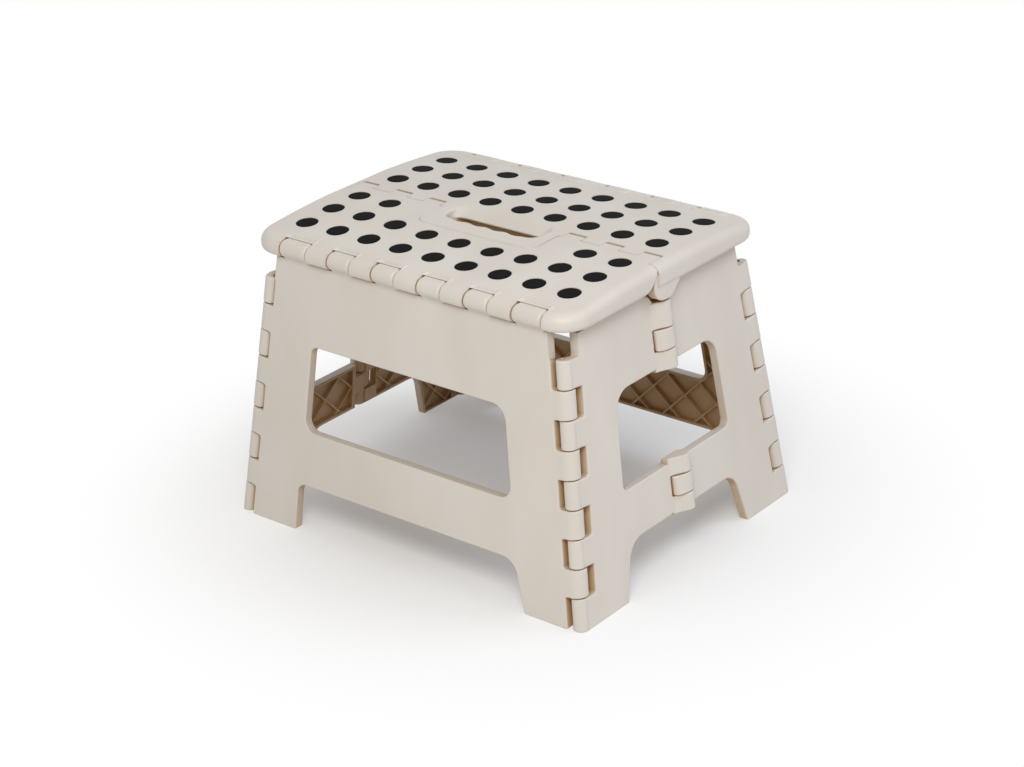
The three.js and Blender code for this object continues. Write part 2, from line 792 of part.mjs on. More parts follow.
// Knuckles of a long panel: a barrel, a tongue level with the top surface and an arm below
function longKnuckles(side) {
  const points = [];
  const arc = (radius, from, to) => {
    const count = Math.max(1, Math.round(Math.abs(to - from) / arcStep));
    for (let step = 0; step <= count; step += 1) {
      const angle = from + (to - from) * step / count;
      points.push([radius * Math.cos(angle), radius * Math.sin(angle)]);
    }
  };
  const armAngle = Math.asin((plateBottom - hingeHeight) / tongueReach);
  const tongueAngle = Math.asin(tongueHeight / tongueReach);
  arc(tongueReach, armAngle, tongueAngle);
  arc(barrelRadius, quarterTurn, 3 * quarterTurn);
  const turn = longPanelTilt;
  const section = points.map(([across, up]) => [
    across * Math.cos(turn) - up * Math.sin(turn),
    across * Math.sin(turn) + up * Math.cos(turn),
  ]);
  const root = -barrelRadius - knuckleRoot;
  section.push([0, root], [longPanelDepth, root], [longPanelDepth, -barrelRadius - panelTopGap]);
  return joined(knuckleSpans(side).map(([from, to]) => prismAlongX(outline(section), from, to)));
}

// One half of the right-hand end panel in its own frame: X outward, Y rearward, Z up its slope.
// Role -1 is the front half, which holds the outer knuckles; role 1 is the rear half.
function endHalf(role) {
  const top = alongEndPanel(endPanelTop);
  const foot = alongEndPanel(0) - overrun;
  const baseLevel = cornerRadius * Math.tan(endPanelTilt);
  const edgeAt = (level, inset) => -cornerAxisY + (level - baseLevel) * endSideSlope + inset;
  const notch = alongEndPanel(endNotchTop);
  const slab = prismAlongX(outline([
    [edgeAt(top, 0), top],
    [-endNotchSlopeHalf, top],
    [-endNotchHalf, notch],
    [-endSeamHalf, notch],
    [-endSeamHalf, foot],
    [edgeAt(foot, 0), foot],
  ]), -endPanelDepth, 0);
  const hollowShape = (grow, depth) => {
    const inset = cornerInset + sideWall - grow;
    const innerEdge = grow - endKnucklePocket - sideWall;
    const [hollowTop, hollowFoot] = [notch - sideWall + grow, alongEndPanel(0) + sideWall - grow];
    const wide = prismAlongX(outline([
      [edgeAt(hollowTop, inset), hollowTop],
      [innerEdge, hollowTop],
      [innerEdge, hollowFoot],
      [edgeAt(hollowFoot, inset), hollowFoot],
    ]), -depth, -faceWall + grow);
    const walls = endOpenings(sideWall - grow);
    return cut(wide, walls.map((shape) => prismAlongX(shape, -endPanelDepth - 2 * overrun, 0)));
  };
  const hollow = hollowShape(0, endPanelDepth + overrun);
  const bars = lattice(topHalfDepth, foot, 0, -faceWall - ribDepth, -faceWall + ribSeat);
  const ribs = bars.transform(alongX).intersect(hollowShape(ribSeat, endPanelDepth));
  const cutters = endOpenings(0).map((shape) => prismAlongX(shape, -endPanelDepth - overrun, overrun));
  const wideHalf = 2 * topHalfLength;
  const pockets = [];
  for (let index = 1; index < cornerCount; index += 2) {
    const [low, high] = cornerRange(index, -cornerAxialGap / 2);
    pockets.push(block(-wideHalf, wideHalf, -wideHalf, cornerInset, low, high));
  }
  pockets.push(block(-wideHalf, wideHalf, -wideHalf, endPanelNeck, cornerRange(0, 0)[1], wideHalf));
  const shell = cut(slab.subtract(hollow).add(ribs), [...cutters, onEndPanel(joined(pockets))]);
  const floor = block(-wideHalf, wideHalf, -wideHalf, wideHalf, -wideHalf, 0)
    .translate([0, 0, -hingeHeight]).rotate([0, degrees(endPanelTilt), 0]);
  const hinged = endKnuckles(shell, role).add(onEndPanel(cornerBarrels(0)));
  const half = cut(hinged, [onEndPanel(cornerBore()), floor]);
  return role < 0 ? half : half.mirror([0, 1, 0]);
}

// Knuckles, pockets and bores along the middle of an end panel, on the front half's side
function endKnuckles(shell, role) {
  const gap = endKnuckleAxialGap / 2;
  const pocketsAndBores = [];
  const knuckles = [];
  const bores = [];
  endKnuckleHeights.forEach((heights, place) => {
    const levels = heights.map(alongEndPanel);
    for (let index = 0; index + 1 < levels.length; index += 1) {
      const [high, low] = [levels[index], levels[index + 1]];
      const isMine = (index === 1) === (role > 0);
      if (isMine) {
        knuckles.push(rodAlongZ(endKnuckleRadius, low + gap, high - gap, endKnuckleProud, 0));
        knuckles.push(block(endKnuckleProud - endKnuckleRadius, 0, -endKnucklePocket, 0, low + gap, high - gap));
      } else {
        pocketsAndBores.push(block(-2 * endPanelDepth, overrun, -endKnucklePocket, overrun, low - gap, high + gap));
      }
    }
    const play = role > 0 ? pinGap : openPivotPlays[place];
    const [outward, along] = role > 0 ? [0, 0] : openPivotShifts[place];
    const [boreLow, boreHigh] = [levels[2] - pinReach - 2 * gap, levels[1] + pinReach + 2 * gap];
    const hole = holeRadius(pinRadius + play, rodSides);
    bores.push(rodAlongZ(hole, boreLow, boreHigh, endKnuckleProud + outward, along, rodSides));
  });
  return cut(cut(shell, pocketsAndBores).add(joined(knuckles)), bores);
}

function endPin(heights) {
  const [high, low] = [alongEndPanel(heights[1]), alongEndPanel(heights[2])];
  return rodAlongZ(pinRadius, low - pinReach, high + pinReach, endKnuckleProud, 0, rodSides);
}

function outerRod(side) {
  const spans = knuckleSpans(side);
  const from = spans[0][0] - rodOverhang;
  const to = spans[knuckleCount - 1][1] + rodOverhang;
  return rodAlongX(rodRadius, from, to, 0, 0, rodSides);
}

function centreRod(side) {
  const from = handleHalfWidth + skinWall + pinGap;
  const rod = rodAlongX(rodRadius, from, topHalfLength - earInset - rodEndCover - pinGap, 0, centreHeight, rodSides);
  return side > 0 ? rod : rod.mirror([1, 0, 0]);
}

function mesh(name, solid, finish) {
  const piece = new THREE.Mesh(toGeometry(solid), new THREE.MeshStandardMaterial(finish));
  piece.name = name;
  return piece;
}

// The frame that a long panel is made in, at the front, or turned to the rear
function longGroup(name, isRear) {
  const group = new THREE.Group();
  group.position.set(0, -outerHingeOffset, hingeHeight);
  group.rotation.x = -longPanelTilt;
  const place = isRear ? 1 : -1;
  group.add(mesh(`${name}_leg_panel`, longPanel(place), beige));
  group.add(mesh(`${name}_hinge_rod`, outerRod(place), steel));
  for (const side of [-1, 1]) {
    const hand = (side > 0) !== isRear ? "right" : "left";
    group.add(mesh(`${name}_${hand}_corner_rod`, onLongPanel(cornerRod(), side), steel));
  }
  return turnedToFace(group, isRear);
}

function endGroup(hand) {
  const isLeft = hand === "left";
  const group = new THREE.Group();
  group.position.set(endFaceOffset, 0, hingeHeight);
  group.rotation.y = -endPanelTilt;
  const names = isLeft ? ["rear", "front"] : ["front", "rear"];
  group.add(mesh(`${hand}_${names[0]}_end_half`, endHalf(-1), beige));
  group.add(mesh(`${hand}_${names[1]}_end_half`, endHalf(1), beige));
  endKnuckleHeights.forEach((heights, index) => {
    const level = index === 0 ? "upper" : "lower";
    group.add(mesh(`${hand}_${level}_fold_pin`, endPin(heights), steel));
  });
  return turnedToFace(group, isLeft);
}

function turnedToFace(group, isTurned) {
  const holder = new THREE.Group();
  holder.rotation.z = isTurned ? Math.PI : 0;
  holder.add(group);
  return holder;
}

function gripMeshes() {
  const meshes = [];
  for (const side of [-1, 1]) {
    const plate = side < 0 ? "front" : "rear";
    gripRows.forEach((row, index) => {
      const strips = gripColumnsOf(row, side);
      strips.forEach((columns, place) => {
        const end = strips.length > 1 ? ["_left", "_right"][place] : "";
        const name = `${plate}_grip_row_${index + 1}${end}`;
        meshes.push(mesh(name, gripStrip(side, row, columns), black));
      });
    });
  }
  return meshes;
}

const stool = new THREE.Group();
const whole = closedTop();
stool.add(mesh("top_front_plate", topFrontPlate(whole), beige));
stool.add(mesh("top_rear_plate", topRearPlate(whole), beige));
stool.add(mesh("left_centre_rod", centreRod(-1), steel));
stool.add(mesh("right_centre_rod", centreRod(1), steel));
stool.add(...gripMeshes());
stool.add(longGroup("front", false), longGroup("rear", true));
stool.add(endGroup("right"), endGroup("left"));

export default stool;
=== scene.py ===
import math

import bmesh
import bpy
from mathutils import Matrix, Vector


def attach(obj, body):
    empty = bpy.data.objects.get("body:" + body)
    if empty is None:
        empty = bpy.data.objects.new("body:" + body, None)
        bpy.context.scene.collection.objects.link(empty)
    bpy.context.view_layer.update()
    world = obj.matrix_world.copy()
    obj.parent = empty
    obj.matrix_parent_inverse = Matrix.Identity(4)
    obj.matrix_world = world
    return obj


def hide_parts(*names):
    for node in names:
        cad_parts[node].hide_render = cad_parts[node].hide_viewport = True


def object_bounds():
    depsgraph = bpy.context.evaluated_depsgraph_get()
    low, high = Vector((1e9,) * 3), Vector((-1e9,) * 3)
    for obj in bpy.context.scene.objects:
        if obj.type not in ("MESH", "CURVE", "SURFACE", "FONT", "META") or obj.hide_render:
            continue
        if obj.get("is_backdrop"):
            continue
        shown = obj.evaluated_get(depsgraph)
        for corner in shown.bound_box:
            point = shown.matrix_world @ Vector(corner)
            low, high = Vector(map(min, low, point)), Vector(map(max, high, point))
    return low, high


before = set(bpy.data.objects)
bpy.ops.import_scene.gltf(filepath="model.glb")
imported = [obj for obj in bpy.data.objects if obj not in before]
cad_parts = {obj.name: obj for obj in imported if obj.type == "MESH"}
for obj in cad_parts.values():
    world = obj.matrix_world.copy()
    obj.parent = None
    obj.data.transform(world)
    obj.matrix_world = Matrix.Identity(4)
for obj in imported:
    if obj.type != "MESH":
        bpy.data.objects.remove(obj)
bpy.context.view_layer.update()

mm = 0.001

# Shared sizes in millimetres. The origin is the middle of the footprint, +X along the stool.
stool = {
    "height": 212.0,
    "length": 274.0,
    "cornerRadius": 22.0,
    "crownRate": 0.00055,  # past crownFlat the top drops by this times the distance squared
    "crownFlat": 30.0,
    "rimThickness": 16.8,
    "hingeOffset": 100.5,  # the outer hinges, from the middle plane
    "barrelRadius": 6.0,
    "centreDrop": 11.1,  # the centre hinge lies this far below the outer ones, which locks the top
    "longTilt": math.radians(6.2),
    "endTilt": math.radians(7.29),
    "endFace": 126.6,  # the end panels' outer face at the height of the hinges
    "partGap": 0.4,
    "skinWall": 3.0,
    "faceWall": 2.5,
    "sideWall": 2.2,
    "panelDepth": 6.6,
    "overrun": 5.0,  # how far a cutter runs past the face that it cuts
    "wide": 400.0,  # further out than any piece
}

rods = {"radius": 2.0, "bore": 2.3, "cover": 2.0, "overhang": 3.0, "pinRadius": 1.4, "chamfer": 0.4,
        "endGap": 0.3, "sides": 32, "boreSides": 24}


def crownHeight(distance):
    beyondFlat = max(0.0, distance * distance - stool["crownFlat"] ** 2)
    return stool["height"] - stool["crownRate"] * beyondFlat


halfLength = stool["length"] / 2
halfDepth = stool["hingeOffset"] + stool["barrelRadius"]
hingeHeight = crownHeight(stool["hingeOffset"]) - stool["barrelRadius"]
centreHeight = hingeHeight - stool["centreDrop"]
plateBottom = stool["height"] - stool["rimThickness"]


# Colours

def linearColour(text):
    parts = [int(text[place:place + 2], 16) / 255 for place in (0, 2, 4)]
    return [part / 12.92 if part <= 0.04045 else ((part + 0.055) / 1.055) ** 2.4 for part in parts] + [1.0]


def addNode(tree, kind, values=None, links=None, **settings):
    made = tree.nodes.new(kind)
    for name, value in settings.items():
        setattr(made, name, value)
    for name, value in (values or {}).items():
        made.inputs[name].default_value = value
    for name, source in (links or {}).items():
        tree.links.new(source, made.inputs[name])
    return made


def newMaterial(name):
    material = bpy.data.materials.new(name)
    material.use_nodes = True
    material.node_tree.nodes.clear()
    return material, material.node_tree


# Meshes, made in millimetres and stored in metres

def newObject(name, points, faces):
    mesh = bpy.data.meshes.new(name)
    mesh.from_pydata([Vector(point) * mm for point in points], [], faces)
    made = bpy.data.objects.new(name, mesh)
    bpy.context.scene.collection.objects.link(made)
    work = bmesh.new()
    work.from_mesh(mesh)
    bmesh.ops.remove_doubles(work, verts=work.verts, dist=1e-8)
    bmesh.ops.recalc_face_normals(work, faces=work.faces)
    work.to_mesh(mesh)
    work.free()
    return made


def ringBands(rings):
    # The points of the rings, the faces between one ring and the next, and the last ring's cap
    count = len(rings[0])
    points = [point for ring in rings for point in ring]
    faces = []
    for level in range(len(rings) - 1):
        base = level * count
        for place in range(count):
            following = (place + 1) % count
            faces.append((base + place, base + following, base + count + following, base + count + place))
    last = (len(rings) - 1) * count
    return points, faces, tuple(last + place for place in reversed(range(count)))


def loft(rings):
    points, faces, cap = ringBands(rings)
    return newObject("work", points, faces + [tuple(range(len(rings[0]))), cap])


def area(outline):
    # Positive where the outline runs anticlockwise
    pairs = zip(outline, outline[1:] + outline[:1])
    return sum(a[0] * b[1] - b[0] * a[1] for a, b in pairs) / 2


def offset(outline, grow):
    # The outline grown sideways by a distance
    turned = outline if area(outline) > 0 else outline[::-1]
    count = len(turned)
    made = []
    for place in range(count):
        before, here, after = turned[place - 1], turned[place], turned[(place + 1) % count]
        first = Vector((here[1] - before[1], before[0] - here[0])).normalized()
        second = Vector((after[1] - here[1], here[0] - after[0])).normalized()
        push = (first + second) / max(0.35, 1 + first.dot(second))
        made.append((here[0] + grow * push.x, here[1] + grow * push.y))
    return made


def rounded(corners, steps=6):
    # An outline from (across, up, reach) corners: each is rounded off over its reach
    made = []
    count = len(corners)
    for place, (across, up, reach) in enumerate(corners):
        here = Vector((across, up))
        if reach <= 0:
            made.append((across, up))
            continue
        toBefore = (Vector(corners[place - 1][:2]) - here).normalized()
        toAfter = (Vector(corners[(place + 1) % count][:2]) - here).normalized()
        halfAngle = toBefore.angle(toAfter) / 2
        radius = reach * math.tan(halfAngle)
        middle = here + (toBefore + toAfter).normalized() * (radius / math.sin(halfAngle))
        start = here + toBefore * reach - middle
        end = here + toAfter * reach - middle
        sweep = start.angle_signed(end)
        for step in range(steps + 1):
            turned = start.copy()
            turned.rotate(Matrix.Rotation(-sweep * step / steps, 2))
            made.append(tuple(middle + turned))
    return made


# A prism's outline stands across its axis
placed = {
    "x": lambda across, up, along: (along, across, up),
    "y": lambda across, up, along: (across, along, up),
    "z": lambda across, up, along: (across, up, along),
}


def prism(axis, outline, levels):
    rings = []
    for along, grow in levels:
        ring = offset(outline, grow)
        rings.append([placed[axis](across, up, along) for across, up in ring])
    return loft(rings)


def plain(low, high):
    return [(low, 0.0), (high, 0.0)]


def eased(low, high, radius, steps=4):
    # Levels of a prism whose two ends are rounded off
    levels = []
    for step in range(steps + 1):
        angle = math.pi / 2 * step / steps
        levels.append((low + radius * (1 - math.cos(angle)), -radius * (1 - math.sin(angle))))
    return levels + [(low + high - along, grow) for along, grow in reversed(levels)]


def flared(face, inward, far, radius, steps=4):
    # Levels of a cutter that rounds the edge where it leaves a face
    levels = [(face - inward * stool["overrun"], radius)]
    for step in range(steps + 1):
        depth = radius * step / steps
        grow = radius - math.sqrt(max(0.0, radius ** 2 - (radius - depth) ** 2))
        levels.append((face + inward * depth, grow))
    levels.append((far, 0.0))
    return levels


def box(low, high):
    outline = [(low[0], low[1]), (high[0], low[1]), (high[0], high[1]), (low[0], high[1])]
    return prism("z", outline, plain(low[2], high[2]))


def circle(radius, sides, centre=(0.0, 0.0)):
    turns = [2 * math.pi * side / sides for side in range(sides)]
    return [(centre[0] + radius * math.cos(turn), centre[1] + radius * math.sin(turn)) for turn in turns]


def rod(axis, radius, low, high, centre=(0.0, 0.0), ease=0.0, sides=40):
    levels = eased(low, high, ease) if ease else plain(low, high)
    return prism(axis, circle(radius, sides, centre), levels)


def remove(made):
    mesh = made.data
    bpy.data.objects.remove(made)
    if mesh.users == 0:
        bpy.data.meshes.remove(mesh)


def settle(made):
    # Applies the modifiers, so that the object holds a plain mesh again
    bpy.context.view_layer.update()
    graph = bpy.context.evaluated_depsgraph_get()
    mesh = bpy.data.meshes.new_from_object(made.evaluated_get(graph), depsgraph=graph)
    old = made.data
    made.modifiers.clear()
    made.data = mesh
    bpy.data.meshes.remove(old)
    return made


def combine(target, tools, operation):
    for tool in tools:
        step = target.modifiers.new("combine", "BOOLEAN")
        step.operation = operation
        step.solver = "MANIFOLD"
        step.object = tool
    settle(target)
    for tool in tools:
        remove(tool)
    return target


def cut(target, *tools):
    return combine(target, tools, "DIFFERENCE")


def join(target, *tools):
    return combine(target, tools, "UNION")


def common(target, *tools):
    return combine(target, tools, "INTERSECT")


def moved(made, matrix):
    made.data.transform(matrix)
    if matrix.determinant() < 0:
        made.data.flip_normals()
    return made


def shift(across, along, up):
    return Matrix.Translation(Vector((across, along, up)) * mm)


mirrorX = Matrix.Scale(-1, 4, (1, 0, 0))
mirrorY = Matrix.Scale(-1, 4, (0, 1, 0))
halfTurn = Matrix.Rotation(math.pi, 4, "Z")
unturned = Matrix.Identity(4)


def copyOf(made):
    twin = made.copy()
    twin.data = made.data.copy()
    bpy.context.scene.collection.objects.link(twin)
    return twin


def meshFaults(made):
    work = bmesh.new()
    work.from_mesh(made.data)
    faults = sum(1 for edge in work.edges if len(edge.link_faces) != 2)
    work.free()
    return faults


finishing = {"sharpAngle": math.radians(32), "weldDistance": 4e-7, "normalWeight": 100}


def finishPiece(made, name, body, nodes, material):
    # Cleans the mesh, shades it and hands it over in place of its CAD nodes
    made.name = name
    made.data.name = name
    made.data.materials.clear()
    made.data.materials.append(material)
    work = bmesh.new()
    work.from_mesh(made.data)
    bmesh.ops.remove_doubles(work, verts=work.verts, dist=finishing["weldDistance"])
    bmesh.ops.dissolve_degenerate(work, edges=work.edges, dist=finishing["weldDistance"])
    for face in work.faces:
        face.material_index = 0
        face.smooth = True
    work.to_mesh(made.data)
    work.free()
    made.data.set_sharp_from_angle(angle=finishing["sharpAngle"])
    weighted = made.modifiers.new("weighted", "WEIGHTED_NORMAL")
    weighted.keep_sharp = True
    weighted.weight = finishing["normalWeight"]
    settle(made)
    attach(made, body)
    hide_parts(*nodes)
    print("made", name, len(made.data.polygons), "faces,", meshFaults(made), "open edges")


# Materials

# Colours are sRGB, and sizes are in millimetres except the reach of the painted hollow shade, which is in
# metres
plasticFinish = {"body": "d8d1c7", "shade": "d3cbc0", "paintedShade": "bd9560", "roughness": 0.46, "ior": 1.49,
                 "edge": 0.8, "paintedShadeReach": 0.3, "paintedShadeFrom": 0.5, "paintedShadeFull": 0.1,
                 "flow": 45.45, "flowStretch": 0.35, "grain": 0.7143, "grainHeight": 0.2, "grainShare": 0.1}


def patternScale(size):
    # The scale of a noise whose marks are about this many millimetres apart
    return 1 / (size * mm)


def mouldedPolypropylene():
    # Injection-moulded polypropylene, beige: even colour with a faint flow mottle, a soft sheen
    # and, where the surface is enclosed, a warm brown painted shade that stands in for the dim light deep
    # inside
    finish = plasticFinish
    material, tree = newMaterial("mouldedPolypropylene")
    where = addNode(tree, "ShaderNodeTexCoord")
    stretch = addNode(tree, "ShaderNodeMapping", {"Scale": (1.0, 1.0, finish["flowStretch"])},
                      {"Vector": where.outputs["Object"]})
    flow = addNode(tree, "ShaderNodeTexNoise",
                   {"Scale": patternScale(finish["flow"]), "Detail": 2.0, "Roughness": 0.45},
                   {"Vector": stretch.outputs["Vector"]})
    # The mould's matt texture is drawn coarser than the real 0.2 mm, which would not show
    grain = addNode(tree, "ShaderNodeTexNoise",
                    {"Scale": patternScale(finish["grain"]), "Detail": 2.0, "Roughness": 0.6},
                    {"Vector": where.outputs["Object"]})
    spread = addNode(tree, "ShaderNodeMapRange", {"From Min": 0.35, "From Max": 0.65},
                     {"Value": flow.outputs["Fac"]})
    tone = addNode(tree, "ShaderNodeMix", {6: linearColour(finish["shade"]), 7: linearColour(finish["body"])},
                   {0: spread.outputs["Result"]}, data_type="RGBA")
    # Painted shade: ambient occlusion mixes the warm brown into hollows, crevices and the insides of the
    # panels
    shadeOcclusion = addNode(tree, "ShaderNodeAmbientOcclusion", {"Distance": finish["paintedShadeReach"]}, samples=8)
    depth = addNode(tree, "ShaderNodeMapRange",
                    {"From Min": finish["paintedShadeFrom"], "From Max": finish["paintedShadeFull"]},
                    {"Value": shadeOcclusion.outputs["AO"]})
    shadedTone = addNode(tree, "ShaderNodeMix", {7: linearColour(finish["paintedShade"])},
                     {0: depth.outputs["Result"], 6: tone.outputs[2]}, data_type="RGBA")
    edge = addNode(tree, "ShaderNodeBevel", {"Radius": finish["edge"] * mm}, samples=6)
    bump = addNode(tree, "ShaderNodeBump",
                   {"Strength": finish["grainShare"], "Distance": finish["grainHeight"] * mm},
                   {"Height": grain.outputs["Fac"], "Normal": edge.outputs["Normal"]})
    shader = addNode(tree, "ShaderNodeBsdfPrincipled",
                     {"Roughness": finish["roughness"], "IOR": finish["ior"]},
                     {"Base Color": shadedTone.outputs[2], "Normal": bump.outputs["Normal"]})
    addNode(tree, "ShaderNodeOutputMaterial", links={"Surface": shader.outputs["BSDF"]})
    return material


gripFinish = {"body": "080808", "pale": "121111", "roughness": 0.7, "specular": 0.06,
              "grain": 1.111, "grainHeight": 0.1, "grainShare": 0.2}


def mouldedRubber():
    # Moulded thermoplastic rubber, black: matt, with a fine even grain, drawn a little coarse
    finish = gripFinish
    material, tree = newMaterial("mouldedRubber")
    where = addNode(tree, "ShaderNodeTexCoord")
    grain = addNode(tree, "ShaderNodeTexNoise", {"Scale": patternScale(finish["grain"]), "Detail": 2.0},
                    {"Vector": where.outputs["Object"]})
    tone = addNode(tree, "ShaderNodeMix", {6: linearColour(finish["body"]), 7: linearColour(finish["pale"])},
                   {0: grain.outputs["Fac"]}, data_type="RGBA")
    bump = addNode(tree, "ShaderNodeBump",
                   {"Strength": finish["grainShare"], "Distance": finish["grainHeight"] * mm},
                   {"Height": grain.outputs["Fac"]})
    shader = addNode(tree, "ShaderNodeBsdfPrincipled",
                     {"Roughness": finish["roughness"], "Specular IOR Level": finish["specular"]},
                     {"Base Color": tone.outputs[2], "Normal": bump.outputs["Normal"]})
    addNode(tree, "ShaderNodeOutputMaterial", links={"Surface": shader.outputs["BSDF"]})
    return material


steelFinish = {"body": "9c9a97", "pale": "b8b6b2", "roughness": 0.34, "marks": 1.4286}


def drawnSteel():
    # Drawn steel rod: bright, a little uneven from the die, drawn coarser than the real marks
    finish = steelFinish
    material, tree = newMaterial("drawnSteel")
    where = addNode(tree, "ShaderNodeTexCoord")
    marks = addNode(tree, "ShaderNodeTexNoise", {"Scale": patternScale(finish["marks"]), "Detail": 1.0},
                    {"Vector": where.outputs["Object"]})
    tone = addNode(tree, "ShaderNodeMix", {6: linearColour(finish["body"]), 7: linearColour(finish["pale"])},
                   {0: marks.outputs["Fac"]}, data_type="RGBA")
    shader = addNode(tree, "ShaderNodeBsdfPrincipled", {"Roughness": finish["roughness"], "Metallic": 1.0},
                     {"Base Color": tone.outputs[2]})
    addNode(tree, "ShaderNodeOutputMaterial", links={"Surface": shader.outputs["BSDF"]})
    return material


plastic = mouldedPolypropylene()
rubber = mouldedRubber()
steel = drawnSteel()
print("materials made")


# The closed top: crowned surface, rounded rim and corners

rim = {"roundWidth": 7.0, "roundHeight": 6.5, "underRound": 4.0, "steps": 8, "underSteps": 5,
       "cornerSteps": 12, "rowStep": 4.0, "columns": 58, "cavityWall": 9.0, "cavitySteps": 16}

# The skin sinks a little between its ribs, most of all in the middle of the front plate
sinks = {
    "front": {"depth": 1.5, "across": [28.0, 60.0], "along": [-90.0, -52.0, -38.0, -24.0]},
    "rear": {"depth": 0.8, "across": [28.0, 60.0], "along": [24.0, 38.0, 58.0, 90.0]},
}


def ramp(value, low, high):
    return min(1.0, max(0.0, (value - low) / (high - low)))


def sinkDepth(across, along):
    total = 0.0
    for place in sinks.values():
        sideways = 1 - ramp(abs(across), *place["across"])
        start, full, fade, end = place["along"]
        total += place["depth"] * sideways * ramp(along, start, full) * (1 - ramp(along, fade, end))
    return total


def topSurface(across, along):
    return crownHeight(along) - sinkDepth(across, along)


def planOutline():
    # The top's outline as (x, y, direction it faces), with points where the cap's rows and columns end
    centreX = halfLength - stool["cornerRadius"]
    centreY = halfDepth - stool["cornerRadius"]
    flat = stool["crownFlat"]
    flatRows = round(2 * flat / rim["rowStep"])
    slopeRows = round((centreY - flat) / rim["rowStep"])
    rows = [-centreY + (centreY - flat) * step / slopeRows for step in range(slopeRows)]
    rows += [-flat + 2 * flat * step / flatRows for step in range(flatRows)]
    rows += [flat + (centreY - flat) * step / slopeRows for step in range(slopeRows + 1)]
    columns = [-centreX + 2 * centreX * step / rim["columns"] for step in range(rim["columns"] + 1)]
    points = []
    for side in (0, 1):
        sign = 1 - 2 * side
        for along in rows[1:-1]:
            points.append((sign * halfLength, sign * along, side * math.pi))
        for corner in (0, 1):
            for step in range(rim["cornerSteps"] + 1):
                facing = side * math.pi + corner * math.pi / 2 + math.pi / 2 * step / rim["cornerSteps"]
                middleX = (sign if corner == 0 else -sign) * centreX
                points.append((middleX + stool["cornerRadius"] * math.cos(facing),
                               sign * centreY + stool["cornerRadius"] * math.sin(facing), facing))
            if corner == 0:
                for across in reversed(columns[1:-1]):
                    points.append((sign * across, sign * halfDepth, side * math.pi + math.pi / 2))
    return points, columns


def closedTop():
    plan, columns = planOutline()
    rings = []
    for step in range(rim["steps"], -1, -1):
        angle = math.pi / 2 * step / rim["steps"]
        inset = rim["roundWidth"] * (1 - math.cos(angle))
        drop = rim["roundHeight"] * (1 - math.sin(angle))
        rings.append([(x - inset * math.cos(facing), y - inset * math.sin(facing),
                       crownHeight(y - rim["roundWidth"] * math.sin(facing)) - drop)
                      for x, y, facing in plan])
    for step in range(rim["underSteps"] + 1):
        angle = math.pi / 2 * step / rim["underSteps"]
        inset = rim["underRound"] * (1 - math.cos(angle))
        level = plateBottom + rim["underRound"] * (1 - math.sin(angle))
        rings.append([(x - inset * math.cos(facing), y - inset * math.sin(facing), level)
                      for x, y, facing in plan])
    points, faces, underside = ringBands(rings)
    faces.append(underside)
    count = len(plan)
    # The cap runs in rows between ring points that lie at the same depth, with columns between
    edge, slack = rings[0], 1e-6
    right = sorted((p for p in range(count) if edge[p][0] >= columns[-1] - slack), key=lambda p: edge[p][1])
    left = sorted((p for p in range(count) if edge[p][0] <= columns[0] + slack), key=lambda p: edge[p][1])
    grid = []
    for rowRight, rowLeft in zip(right, left):
        along = edge[rowRight][1]
        isEnd = abs(along) > halfDepth - rim["roundWidth"] - slack
        row = [rowLeft]
        if isEnd:
            matching = {round(edge[p][0], 4): p for p in range(count) if abs(edge[p][1] - along) < slack}
            row += [matching[round(across, 4)] for across in columns]
        else:
            for across in columns:
                row.append(len(points))
                points.append((across, along, topSurface(across, along)))
        row.append(rowRight)
        grid.append(row)
    for lower, upper in zip(grid, grid[1:]):
        for place in range(len(lower) - 1):
            corners = (lower[place], lower[place + 1], upper[place + 1], upper[place])
            faces.append(tuple(dict.fromkeys(corners)))
    return newObject("closedTop", points, faces)


# The seam between the plates, with its fingers, and the hand slot in the rear plate's tongue.
# In a plan, across is x and along is y, and the seam's own distances are from the centre hinge.

seam = {"fingers": 3, "pitch": 30.5, "width": 14.4, "first": 60.4, "reach": 4.0, "frontReach": 1.9,
        "sideGap": 0.2, "tongueGap": 0.15, "tongueEase": 1.0, "barrel": 6.0, "barrelEase": 0.6,
        "webReach": 18.0, "solidHalf": 11.2, "swing": 0.7, "earSeam": 12.0, "earInset": 1.0, "round": 0.8}
tongue = {"half": 50.0, "reach": 33.0, "round": 7.0}
slot = {"half": 40.0, "near": -18.0, "far": 8.0, "throat": -2.0, "throatDepth": 5.5, "slopeDepth": 3.5,
        "round": 9.0, "roundSteps": 8, "roundSpare": 0.2, "wavePitch": 16.0, "waveDepth": 1.6,
        "waveFade": 3.0, "waveSteps": 64, "edge": 1.6, "edgeSteps": 4, "wall": 3.0, "lip": 0.9,
        "undercutNear": 4.0, "undercutSide": 2.0}


def frontFingers():
    # The front plate's fingers on the right side; the left side mirrors them
    middles = [seam["first"] + place * seam["pitch"] for place in range(seam["fingers"])]
    return [(middle - seam["width"] / 2, middle + seam["width"] / 2) for middle in middles]


def rearFingers():
    # The rear plate's fingers lie between them, and its last one carries the ear
    front = frontFingers()
    gap = seam["sideGap"]
    spans = [(end + gap, following - gap) for (_, end), (following, _) in zip(front, front[1:])]
    return spans + [(front[-1][1] + gap, halfLength - seam["earInset"])]


def widened(spans, gap):
    return [(low - gap, high + gap) for low, high in spans]


def frontPlan():
    # Seen from above: the front plate's edge runs round its fingers, and the tongue is cut out later
    ease, gap, far = seam["round"], stool["partGap"], stool["wide"]
    corners = [(far, -seam["earSeam"] - gap, 0)]
    last = frontFingers()[-1][1]
    corners.append((last, -seam["earSeam"] - gap, 0))
    for low, high in reversed(frontFingers()):
        if high != last:
            corners.append((high, -seam["reach"] - gap, ease))
        corners += [(high, seam["frontReach"], ease), (low, seam["frontReach"], ease)]
        corners.append((low, -seam["reach"] - gap, ease))
    mirrored = [(-across, along, reach) for across, along, reach in reversed(corners)]
    return rounded(corners + mirrored + [(-far, -far, 0), (far, -far, 0)], steps=3)


